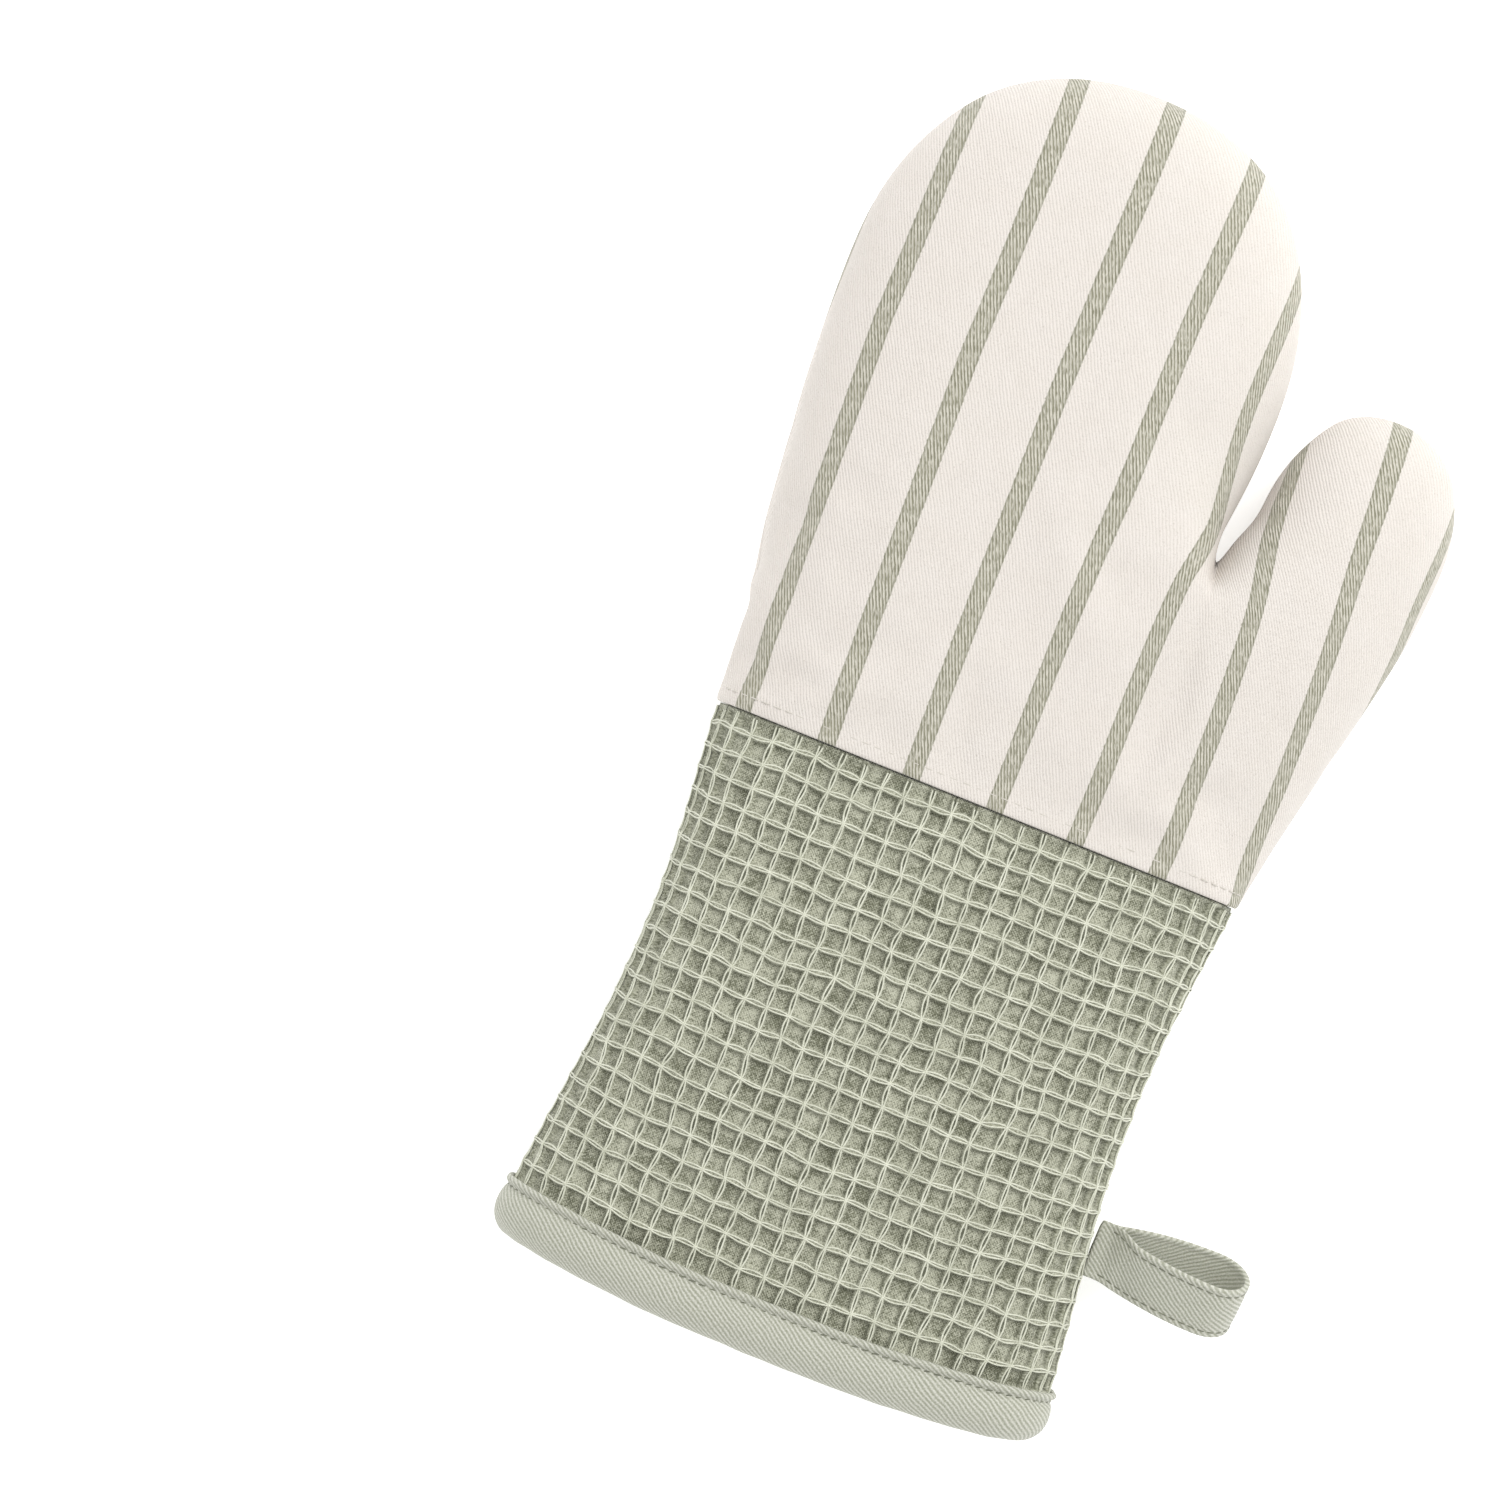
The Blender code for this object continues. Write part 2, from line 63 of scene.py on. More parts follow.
# ---------------------------------------------------------------- sizes

# Outline in the flat
LENGTH = 330 * MM
CUFF_LENGTH = 145 * MM
HEM_WIDTH = 150 * MM
WAIST_WIDTH = 134 * MM
SEAM_WIDTH = 142 * MM
HEM_BOW = 5 * MM
FINGERS_WIDTH = 117.5 * MM
FINGERS_X = -24 * MM
FINGERS_ROUND = 64 * MM
THUMB_WIDTH = 48.5 * MM
THUMB_X = 64.2 * MM
THUMB_REACH = 276 * MM
THUMB_ROUND = 33 * MM
CROTCH_X = 33.8 * MM
CROTCH_Y = 223 * MM
SLOT_LEFT = 1.1 * MM  # at the bending line the notch opens this far to each side of the crotch
SLOT_RIGHT = 2.3 * MM
BEND_ABOVE_CROTCH = 9 * MM
DIGIT_TOP = 132  # the rounded ends' top side runs from this angle, in degrees, to its mirror image
GAP = 0.3 * MM  # clearance between neighbouring pieces

# Puffed shape
PALM_DEPTH = 24 * MM  # crown of the palm above the seam plane
HEM_DEPTH = 18 * MM  # crown of the mouth above the seam plane
PALM_SPREAD = 22 * MM  # how far in from the seam the palm side goes on rising
BACK_SPREAD = 11 * MM  # the same for the back, which lies flat in the middle
CROTCH_FULLNESS = 1.3  # the palm side rises this much more steeply round the notch,
CROTCH_REACH = 22 * MM  # fading out over about this distance
SEAM_PINCH = 0.9 * MM  # how far the side seam is pulled in between the two faces,
PINCH_REACH = 7 * MM  # fading out over about this distance
HEM_RAISE = 2.05 * MM  # the back is held up this far by the binding under it,
SEAM_RAISE = 0.9 * MM  # and this far by the cuff seam

# Folds and creases
STUFFING = 4.0  # pressure that blows the stitched hand up
CLOTH_EASE = 0.03  # the cloth is cut this share larger than the hand
STEPS_TO_SETTLE = 20
PUCKER = 1.6 * MM  # most that the folds stand out
CREASES = (  # below the notch: (lean towards the thumb, height out of the cloth)
    (-0.62, -0.35 * MM), (-0.30, 0.25 * MM), (-0.08, -0.45 * MM), (0.10, 0.45 * MM), (0.38, -0.35 * MM),
)
CREASE_LENGTH = 11 * MM

# Cloth layers, as depths under the outer face
TWILL = 1.1 * MM
WAFFLE_UNDER = 2.9 * MM  # inner face of the waffle cloth
WADDING_FACE = 4.6 * MM
LINING = 1.0 * MM
LINING_FACE = WADDING_FACE + GAP + LINING
HEM_TUCK = 3 * MM  # the waffle cloth ends this far above the hem's fold, inside the binding

# Stripes and weave
STRIPE_PITCH = 24.2 * MM
STRIPE_WIDTH = 5.1 * MM
STRIPE_START = -20.5 * MM  # middle of one stripe, on the finger pocket
EASED_FROM = 250 * MM  # the stripes lie true here; below and above, the cloth is eased into the seams
SEAM_EASE = 0.062, 0.115  # by these shares into the cuff seam, in its left and right half
SEAM_DRIFT = -2.3 * MM
TIP_EASE = -0.02  # by this share towards the finger tips
SIDE_EASE = 0.09  # by this share into the little finger's side seam, from SIDE_EASED outwards
SIDE_EASED = -72 * MM

# Waffle cloth
CELL = 6.1 * MM
PIT = 1.9 * MM  # depth of a cell
SIDE_STRIP = 1.6 * MM  # plain strip beside the cuff's side seam
POINTS_PER_CELL = 8
WAFFLE_REACH = 0.675 * HEM_WIDTH  # the panel is laid out this far each way, then kept to the cuff
RIDGE_YARN = 0.23 * MM  # radius of the yarns that float along the ridges
RIDGE_SPREAD = 0.36 * MM  # how far the two yarns of a ridge spread
RIDGE_DROP = 0.30 * MM  # the yarns lie this far under the cuff's outer face,
RIDGE_WEAVE = 0.13 * MM  # rise or dive this far where they cross,
RIDGE_SAG = 0.22 * MM  # and sag this far in between
RIDGE_COUNT = 15  # ridges each way from the middle
LAST_RIDGE = 11 * MM, 0.4 * MM  # the yarns end this far from the hem and from the cuff seam

# Hem binding, stitching and loop
BINDING_WIDTH = 13 * MM
BINDING_STITCH = 10.8 * MM  # the binding's stitches run this far above the hem's fold
BINDING_STITCHES = {"pitch": 2.75 * MM, "length": 2.0 * MM, "radius": 0.2 * MM}
SEAM_STITCH = 4 * MM  # the topstitching runs this far above the cuff seam
SEAM_STITCHES = {"pitch": 3.4 * MM, "length": 2.3 * MM, "radius": 0.17 * MM}
LOOP_STITCH = 1.75 * MM  # the loop's stitches run this far inside its edges
LOOP_STITCHES = {"pitch": 2.6 * MM, "length": 1.9 * MM, "radius": 0.19 * MM}
LOOP_Y = 51.3 * MM
LOOP_REACH = 38.5 * MM
LOOP_TAPE = 15.2 * MM
LOOP_THICK = 1.7 * MM
LOOP_GAP = 16 * MM  # between the middles of the two legs where the loop is widest
LOOP_TWIST = math.radians(28)
LOOP_ROOT = 2.6 * MM  # the tape starts this far behind its seam

# Grid
FINGER_COLUMNS = 30
THUMB_COLUMNS = 12
CUFF_ROWS = 32
PALM_ROWS = 18
FINGER_ROWS = 24
THUMB_ROWS = 12
ROUND_DEPTH = 20 * MM  # depth and width of the rounding that the columns are spaced for
ROUND_WIDTH = 24 * MM

BEND_Y = CROTCH_Y + BEND_ABOVE_CROTCH
FINGERS_SHOULDER = LENGTH - FINGERS_ROUND
THUMB_SHOULDER = THUMB_REACH - THUMB_ROUND

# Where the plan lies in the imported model
cuff_low, cuff_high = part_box("cuff_palm_panel")
ORIGIN = np.array([(cuff_low.x + cuff_high.x) / 2, cuff_high.y + GAP / 2 - CUFF_LENGTH, 0])
SEAM_Z = cuff_low.z - GAP / 2  # seam plane, where palm and back meet


# ---------------------------------------------------------------- outline


def edge_curve(points, last_slope=0.0):
    """A function x(y): a smooth cubic through (y, x) points that ends with the given slope."""
    ys, xs = np.array(points).T
    slopes = np.gradient(xs, ys)
    slopes[-1] = last_slope

    def at(y):
        i = int(np.clip(np.searchsorted(ys, y) - 1, 0, len(ys) - 2))
        span = ys[i + 1] - ys[i]
        s = (y - ys[i]) / span
        start = (1 + 2 * s) * (1 - s) ** 2 * xs[i] + s * (1 - s) ** 2 * span * slopes[i]
        return start + s * s * (3 - 2 * s) * xs[i + 1] - s * s * (1 - s) * span * slopes[i + 1]

    return at


CUFF_EDGE = [(0, HEM_WIDTH / 2), (CUFF_LENGTH * 0.66, WAIST_WIDTH / 2), (CUFF_LENGTH, SEAM_WIDTH / 2)]
left_edge = edge_curve(
    [(y, -x) for y, x in CUFF_EDGE] + [(FINGERS_SHOULDER, FINGERS_X - FINGERS_WIDTH / 2)]
)
right_edge = edge_curve(CUFF_EDGE + [(THUMB_SHOULDER, THUMB_X + THUMB_WIDTH / 2)])
finger_inner_edge = edge_curve(
    [(BEND_Y, CROTCH_X - SLOT_LEFT), (FINGERS_SHOULDER, FINGERS_X + FINGERS_WIDTH / 2)]
)
thumb_inner_edge = edge_curve(
    [(BEND_Y, CROTCH_X + SLOT_RIGHT), (THUMB_SHOULDER, THUMB_X - THUMB_WIDTH / 2)]
)


def round_end(x, y, width, rise, start, end, power=2.2):
    """Points of a superellipse end, its shoulders at height y, between two angles in degrees."""
    turn = np.radians(np.linspace(start, end, 90))
    across = np.sign(np.cos(turn)) * np.abs(np.cos(turn)) ** (2 / power)
    along = np.abs(np.sin(turn)) ** (2 / power)
    return np.stack([x + width / 2 * across, y + rise * along], axis=1)


def side(edge, low, high):
    return np.array([(edge(y), y) for y in np.linspace(low, high, 90)])


def smooth_step(value, low, high):
    s = np.clip((value - low) / (high - low), 0, 1)
    return s * s * (3 - 2 * s)


def round_shares(width, columns, ends=2):
    """Shares of a width, spaced evenly along the cloth where it rounds down at one end or at both."""
    x = np.linspace(0, 1, 4001) ** 2 * 0.5
    x = np.concatenate([x, 1 - x[-2::-1]])
    from_edge = (np.minimum(x, 1 - x) if ends == 2 else 1 - x) * width
    inside = 1 - np.minimum(from_edge / min(ROUND_WIDTH, width / 2 if ends == 2 else width), 1)
    height = ROUND_DEPTH * np.sqrt(1 - inside**2)
    steps = np.hypot(np.diff(x) * width, np.diff(height))
    length = np.concatenate([[0], np.cumsum(steps)])
    return np.interp(np.linspace(0, length[-1], columns + 1), length, x)


def spaced(points, shares):
    """The polyline's points at the given shares of its length."""
    steps = np.concatenate([[0], np.cumsum(np.linalg.norm(np.diff(points, axis=0), axis=1))])
    return np.stack(
        [np.interp(shares * steps[-1], steps, points[:, k]) for k in range(points.shape[1])], axis=1
    )


def filled(bottom, top, left, right, across, along):
    """A grid of points between four sides that share corners, as rows from bottom to top."""
    s = across[None, :, None]
    t = along[:, None, None]
    ruled = (1 - t) * bottom[None] + t * top[None] + (1 - s) * left[:, None] + s * right[:, None]
    corners = (1 - s) * (1 - t) * bottom[0] + s * (1 - t) * bottom[-1]
    return ruled - corners - (1 - s) * t * top[0] - s * t * top[-1]


def digit_grid(bottom, outer, inner, x, shoulder, width, rise, rows, outer_is_left):
    """Grid of the finger or thumb pocket above the bending line."""
    left_side, right_side = (outer, inner) if outer_is_left else (inner, outer)
    across = round_shares(width, len(bottom) - 1)
    along = round_shares(shoulder + rise - BEND_Y, rows, ends=1)
    left = np.concatenate(
        [side(left_side, BEND_Y, shoulder), round_end(x, shoulder, width, rise, 180, DIGIT_TOP)[1:]]
    )
    right = np.concatenate(
        [side(right_side, BEND_Y, shoulder), round_end(x, shoulder, width, rise, 0, 180 - DIGIT_TOP)[1:]]
    )
    top = round_end(x, shoulder, width, rise, DIGIT_TOP, 180 - DIGIT_TOP)
    even = np.linspace(0, 1, len(bottom))
    return filled(bottom, spaced(top, even), spaced(left, along), spaced(right, along), across, along)


class Grid:
    """Points in the seam plane, four-sided cells with their region, and the cloth's outline."""

    def __init__(self):
        self.points, self.cells = [], []
        fingers_base = self.row(left_edge(BEND_Y), finger_inner_edge(BEND_Y), FINGERS_WIDTH, FINGER_COLUMNS)
        thumb_base = self.row(thumb_inner_edge(BEND_Y), right_edge(BEND_Y), THUMB_WIDTH, THUMB_COLUMNS)
        fingers = digit_grid(
            fingers_base, left_edge, finger_inner_edge, FINGERS_X, FINGERS_SHOULDER,
            FINGERS_WIDTH, FINGERS_ROUND, FINGER_ROWS, True,
        )
        thumb = digit_grid(
            thumb_base, right_edge, thumb_inner_edge, THUMB_X, THUMB_SHOULDER,
            THUMB_WIDTH, THUMB_ROUND, THUMB_ROWS, False,
        )
        self.palm_ids = np.array([self.add(row) for row in self.palm_rows()])
        finger_ids = [self.add(row) for row in fingers]
        thumb_ids = [self.add(row) for row in thumb]
        self.seam_row = self.palm_ids[CUFF_ROWS]
        palm_ids = self.palm_ids.tolist()
        self.link(palm_ids[: CUFF_ROWS + 1], "cuff")
        self.link(palm_ids[CUFF_ROWS:], "palm")
        self.link([palm_ids[-1][: FINGER_COLUMNS + 1], *finger_ids], "fingers")
        self.link([palm_ids[-1][FINGER_COLUMNS:], *thumb_ids], "thumb")
        self.points = np.array(self.points)
        self.outline = np.array(self.outline_edges())

    def row(self, start, end, width, columns):
        x = start + (end - start) * round_shares(width, columns)
        return np.stack([x, np.full(columns + 1, BEND_Y)], axis=1)

    def palm_rows(self):
        """Rows from the hem to the crotch; those under the binding are the same row moved down."""
        whole = round_shares(SEAM_WIDTH, FINGER_COLUMNS + THUMB_COLUMNS)
        crotch = (CROTCH_X - left_edge(CROTCH_Y)) / (right_edge(CROTCH_Y) - left_edge(CROTCH_Y))
        split = np.concatenate(
            [
                crotch * round_shares(FINGERS_WIDTH, FINGER_COLUMNS),
                crotch + (1 - crotch) * round_shares(THUMB_WIDTH, THUMB_COLUMNS)[1:],
            ]
        )
        self.palm_heights = np.concatenate(
            [
                np.linspace(0, BINDING_WIDTH, 4)[:-1],
                np.linspace(BINDING_WIDTH, CUFF_LENGTH, CUFF_ROWS - 2),
                np.linspace(CUFF_LENGTH, CROTCH_Y, PALM_ROWS + 1)[1:],
            ]
        )
        rows = []
        for y in self.palm_heights:
            at = max(y, BINDING_WIDTH)
            turned = smooth_step(at, CROTCH_Y - 50 * MM, CROTCH_Y)
            share = (1 - turned) * whole + turned * split
            x = left_edge(at) + (right_edge(at) - left_edge(at)) * share
            bow = HEM_BOW * (1 - (2 * share - 1) ** 2) * max(0, 1 - at / CUFF_LENGTH) ** 1.5
            rows.append(np.stack([x, y - bow], axis=1))
        return rows

    def add(self, points):
        start = len(self.points)
        self.points.extend(points)
        return list(range(start, len(self.points)))

    def link(self, rows, region):
        for low, high in zip(rows, rows[1:]):
            for i in range(len(low) - 1):
                self.cells.append((region, (low[i], low[i + 1], high[i + 1], high[i])))

    def cells_of(self, regions):
        return [cell for region, cell in self.cells if region in regions]

    def outline_edges(self):
        """Edges along the side seam, in their cell's direction."""
        counts = {}
        for _, cell in self.cells:
            for a, b in zip(cell, cell[1:] + cell[:1]):
                counts[a, b] = True
        hem = set(self.palm_ids[0].tolist())
        return [(a, b) for a, b in counts if (b, a) not in counts and not (a in hem and b in hem)]


def nearest_on(points, edges, everything):
    """Distance from each point to the outline, and the direction away from it."""
    a = everything[edges[:, 0]]
    along = everything[edges[:, 1]] - a
    offset = points[:, None] - a[None]
    share = np.clip((offset * along).sum(2) / (along**2).sum(1), 0, 1)
    away = offset - share[..., None] * along[None]
    distance = np.linalg.norm(away, axis=2)
    nearest = distance.argmin(axis=1)
    row = np.arange(len(points))
    reach = distance[row, nearest]
    return reach, away[row, nearest] / np.maximum(reach, 1e-9)[:, None]


# ---------------------------------------------------------------- puffed faces


def triangles_of(cells):
    cells = np.array(cells)
    return np.concatenate([cells[:, [0, 1, 2]], cells[:, [0, 2, 3]]])


def slopes_of(points, triangles):
    """For each triangle, the slope of each corner's own hat function, and the triangle's area."""
    p = [points[triangles[:, k]] for k in range(3)]
    normal = np.cross(p[1] - p[0], p[2] - p[0])
    doubled = np.maximum(np.linalg.norm(normal, axis=1), 1e-12)[:, None]
    unit = normal / doubled
    slopes = [np.cross(unit, p[(k + 2) % 3] - p[(k + 1) % 3]) / doubled for k in range(3)]
    return slopes, doubled[:, 0] / 2, unit


def stiffness(triangles, slopes, area, count):
    total = np.zeros((count, count))
    for a in range(3):
        for b in range(3):
            np.add.at(total, (triangles[:, a], triangles[:, b]), area * (slopes[a] * slopes[b]).sum(1))
    return total


def puffed(points, triangles, outline, spread):
    """0 along the seam, rising smoothly towards 1 far from it: a membrane held at the seam."""
    flat = np.column_stack([points, np.zeros(len(points))])
    slopes, area, _ = slopes_of(flat, triangles)
    matrix = stiffness(triangles, slopes, area, len(points))
    mass = np.zeros(len(points))
    for k in range(3):
        np.add.at(mass, triangles[:, k], area / 3)
    matrix[np.diag_indices(len(points))] += mass / spread**2
    free = np.setdiff1d(np.arange(len(points)), outline)
    rise = np.zeros(len(points))
    rise[free] = np.linalg.solve(matrix[np.ix_(free, free)], mass[free] / spread**2)
    return rise


def cloth_coordinate(points, triangles, direction, fixed):
    """Distance along the cloth from a fixed point, measured on its surface in the given direction.

    Found by weighted least squares over the triangles.
    """
    used = np.unique(triangles)
    place = np.full(len(points), -1)
    place[used] = np.arange(len(used))
    local = place[triangles]
    slopes, area, unit = slopes_of(points[used], local)
    along = direction - unit * (unit @ direction)[:, None]
    length = np.linalg.norm(along, axis=1)
    along /= length[:, None]
    # On the little finger's side, cloth that faces along the direction says little of it
    little_finger_side = smooth_step(-points[triangles].mean(1)[:, 0], 25 * MM, 60 * MM)
    area = area * (1 - 0.85 * little_finger_side * (1 - length**2))
    matrix = stiffness(local, slopes, area, len(used))
    wanted = np.zeros(len(used))
    for k in range(3):
        np.add.at(wanted, local[:, k], area * (slopes[k] * along).sum(1))
    matrix[place[fixed]] = 0
    matrix[place[fixed], place[fixed]] = 1
    wanted[place[fixed]] = 0
    found = np.zeros(len(points))
    found[used] = np.linalg.solve(matrix, wanted)
    return found


class Face:
    """The outer face of the palm side or of the back, with its normals and its cloth coordinates."""

    def __init__(self, grid, palm):
        self.grid, self.palm = grid, palm
        outline = np.unique(grid.outline)
        every = triangles_of([cell for _, cell in grid.cells])
        rise = puffed(grid.points, every, outline, PALM_SPREAD if palm else BACK_SPREAD)
        y = grid.points[:, 1]
        if palm:
            from_crotch = np.hypot(grid.points[:, 0] - CROTCH_X, y - CROTCH_Y + 8 * MM)
            fuller = 1 + CROTCH_FULLNESS * np.exp(-((from_crotch / CROTCH_REACH) ** 2))
            rise = 1 - (1 - np.clip(rise, 0, 1)) ** fuller
        round_up = np.sqrt(1 - (1 - np.clip(rise, 0, 1)) ** 2)
        if palm:
            opening = np.clip(1 - y / CUFF_LENGTH, 0, 1) ** 2
            crown = PALM_DEPTH + (HEM_DEPTH - PALM_DEPTH) * opening
            height = SEAM_Z + crown * round_up
        else:
            height = SEAM_Z * (1 - round_up)
            raised = HEM_RAISE * (1 - smooth_step(y, BINDING_WIDTH, BINDING_WIDTH + 24 * MM))
            raised += SEAM_RAISE * smooth_step(15 * MM - np.abs(y - CUFF_LENGTH - 3 * MM), 0, 10 * MM)
            height += raised * round_up
        for row in grid.palm_ids[:3]:
            height[row] = height[grid.palm_ids[3]]
        self.points = np.column_stack([grid.points, height])
        self.pinch(outline)
        self.normals = self.find_normals()
        self.folds = np.zeros(len(self.points))

    def pinch(self, outline):
        """Lets the cloth stand out a little on each side of the seam, which is pulled in."""
        grid = self.grid
        distance, inwards = nearest_on(grid.points, grid.outline, grid.points)
        off_seam = np.abs(self.points[:, 2] - SEAM_Z)
        push = SEAM_PINCH * (1 - np.exp(-off_seam / (1.5 * MM))) * np.exp(-distance / PINCH_REACH)
        crotch = np.hypot(grid.points[:, 0] - CROTCH_X, grid.points[:, 1] - CROTCH_Y)
        push *= smooth_step(crotch, 4 * MM, 30 * MM)
        push[outline] = 0
        self.points[:, :2] -= inwards * push[:, None]

    def find_normals(self):
        """Unit normals pointing out of the cloth, level along the seam and square to the hem."""
        normals = np.zeros_like(self.points)
        cells = np.array([cell for _, cell in self.grid.cells])
        p = self.points[cells]
        turned = np.cross(p[:, 2] - p[:, 0], p[:, 3] - p[:, 1])
        turned = turned if self.palm else -turned
        for k in range(4):
            np.add.at(normals, cells[:, k], turned)
        edges = self.grid.outline
        along = self.points[edges[:, 1]] - self.points[edges[:, 0]]
        level = np.column_stack([along[:, 1], -along[:, 0], np.zeros(len(along))])
        level /= np.linalg.norm(level, axis=1)[:, None]
        outward = np.zeros_like(self.points)
        np.add.at(outward, edges[:, 0], level)
        np.add.at(outward, edges[:, 1], level)
        seam = np.abs(outward).sum(1) > 0
        normals[seam] = outward[seam]
        for row in self.grid.palm_ids[:4]:
            normals[row, 1] = 0
        return normals / np.linalg.norm(normals, axis=1)[:, None]

    def lay_out(self):
        """Cloth coordinates of the striped hand: across the stripes and along them."""
        triangles = triangles_of(self.grid.cells_of({"palm", "fingers", "thumb"}))
        reference = nearest_point(self.grid.points, (STRIPE_START, EASED_FROM))
        x, y = self.grid.points[reference]
        across = cloth_coordinate(self.points, triangles, np.array([1.0, 0, 0]), reference) + x
        along = cloth_coordinate(self.points, triangles, np.array([0, 1.0, 0]), reference) + y
        x, y = self.grid.points.T
        eased = np.clip((EASED_FROM - y) / (EASED_FROM - CUFF_LENGTH), 0, 1)
        across += eased * (SEAM_DRIFT + np.where(x < 0, *SEAM_EASE) * x)
        across += (1 - eased) * TIP_EASE * (x - STRIPE_START)
        across += SIDE_EASE * np.maximum(SIDE_EASED - across, 0)
        self.cloth = np.column_stack([across, along])

    def at(self, depth):
        """The face moved in by a depth, or by one depth for each point, with its folds."""
        return self.points + self.normals * (self.folds - depth)[:, None]


def stuffed(grid, faces):
    """How the stitched hand moves when it is stuffed: a short cloth simulation of it, blown up.

    Gives each point's movement, the grid points used, their numbers on each face, and the cells.
    """
    cells = np.array(grid.cells_of({"palm", "fingers", "thumb"}))
    used = np.unique(cells)
    own = np.setdiff1d(used, grid.outline)
    palm_ids = np.full(len(grid.points), -1)
    palm_ids[used] = np.arange(len(used))
    back_ids = palm_ids.copy()
    back_ids[own] = len(used) + np.arange(len(own))
    start = np.concatenate([faces["palm"].points[used], faces["back"].points[own]])
    quads = palm_ids[cells].tolist() + back_ids[cells][:, ::-1].tolist()
    bag = mesh_object("stuffed_hand", start, quads)
    held = bag.vertex_groups.new(name="cuff_seam")
    held.add(np.concatenate([palm_ids[grid.seam_row], back_ids[grid.seam_row]]).tolist(), 1.0, "REPLACE")
    cloth = bag.modifiers.new("stuffing", "CLOTH")
    cloth.settings.quality = 6
    cloth.settings.use_pressure = True
    cloth.settings.uniform_pressure_force = STUFFING
    cloth.settings.vertex_group_mass = held.name
    cloth.settings.shrink_min = -CLOTH_EASE
    cloth.settings.effector_weights.gravity = 0
    scene = bpy.context.scene
    for step in range(1, STEPS_TO_SETTLE + 1):
        scene.frame_set(step)
    settled = bag.evaluated_get(bpy.context.evaluated_depsgraph_get()).data
    end = np.empty(len(settled.vertices) * 3, np.float32)
    settled.vertices.foreach_get("co", end)
    moved = end.reshape(-1, 3) - ORIGIN - start
    bpy.data.objects.remove(bag)
    scene.frame_set(1)
    return moved, used, {"palm": palm_ids, "back": back_ids}, quads


def small_folds(moved, quads, passes=14):
    """The movement less its own average over the cloth round about."""
    edges = np.array([(q[k], q[(k + 1) % 4]) for q in quads for k in range(4)])
    edges = np.unique(np.sort(edges, axis=1), axis=0)
    count = np.bincount(edges.ravel(), minlength=len(moved))[:, None]
    broad = moved.copy()
    for _ in range(passes):
        near = np.zeros_like(broad)
        np.add.at(near, edges[:, 0], broad[edges[:, 1]])
        np.add.at(near, edges[:, 1], broad[edges[:, 0]])
        broad = 0.5 * broad + 0.5 * near / count
    return moved - broad


def fold_faces(grid, faces):
    """Gives each face its small folds, as distances along its normals, so that its layers stay nested."""
    moved, used, ids_of, quads = stuffed(grid, faces)
    folds = small_folds(moved, quads)
    for word, face in faces.items():
        along = (folds[ids_of[word][used]] * face.normals[used]).sum(1)
        face.folds[used] = np.clip(along, -PUCKER, PUCKER)
    for face in faces.values():
        from_crotch = np.hypot(grid.points[:, 0] - CROTCH_X, grid.points[:, 1] - CROTCH_Y)
        face.folds *= 0.2 + 0.8 * smooth_step(from_crotch, 10 * MM, 38 * MM)
        face.folds *= smooth_step(grid.points[:, 1], CUFF_LENGTH, CUFF_LENGTH + 12 * MM)
    back = faces["back"]
    back.folds = np.minimum(back.folds, back.points[:, 2])


def crotch_creases(points):
    """Fine creases that run down from the notch between finger pocket and thumb, out of the cloth."""
    x, y = (points - (CROTCH_X, CROTCH_Y)).T
    down = np.maximum(-y, 0)
    total = np.zeros(len(points))
    for lean, height in CREASES:
        width = 1.5 * MM + 0.07 * down
        off = (x - lean * down) / width
        along = smooth_step(down, 0, 3 * MM) * np.exp(-down / CREASE_LENGTH)
        total += height * np.exp(-(off**2)) * along
    return total


def crease(joined, face):
    """Presses the fine creases into the finished cloth, both of its faces alike."""
    mesh = joined.data
    places = np.empty(len(mesh.vertices) * 3, np.float32)
    mesh.vertices.foreach_get("co", places)
    places = places.reshape(-1, 3).astype(float)
    height = crotch_creases(places[:, :2] - ORIGIN[:2])
    places[:, 2] += height if face.palm else -height
    places[:, 2] = np.maximum(places[:, 2], 0)
    mesh.vertices.foreach_set("co", places.astype(np.float32).ravel())


def nearest_point(points, target):
    return int(np.linalg.norm(points - target, axis=1).argmin())


# ---------------------------------------------------------------- meshes


def mesh_object(name, points, faces, cloth=None, cells=None):
    """A mesh of points given from the middle of the hem, placed in the model, its faces outwards."""
    mesh = bpy.data.meshes.new(name)
    mesh.from_pydata((np.asarray(points) + ORIGIN).tolist(), [], faces)
    mesh.validate()
    corners = np.empty(len(mesh.loops), np.int32)
    mesh.loops.foreach_get("vertex_index", corners)
    for layer_name, values in (("cloth", cloth), ("cells", cells)):
        if values is not None:
            layer = mesh.uv_layers.new(name=layer_name)
            layer.data.foreach_set("uv", np.asarray(values, np.float32)[corners].ravel())
    made = bpy.data.objects.new(name, mesh)
    bpy.context.scene.collection.objects.link(made)
    return made


def volume_of(mesh):
    mesh.calc_loop_triangles()
    corners = np.empty(len(mesh.loop_triangles) * 3, np.int32)
    mesh.loop_triangles.foreach_get("vertices", corners)
    places = np.empty(len(mesh.vertices) * 3, np.float32)
    mesh.vertices.foreach_get("co", places)
    p = places.reshape(-1, 3)[corners.reshape(-1, 3)].astype(float)
    return float((p[:, 0] * np.cross(p[:, 1], p[:, 2])).sum() / 6)


def apply_modifiers(made):
    bpy.ops.object.select_all(action="DESELECT")
    bpy.context.view_layer.objects.active = made
    made.select_set(True)
    for modifier in list(made.modifiers):
        bpy.ops.object.modifier_apply(modifier=modifier.name)


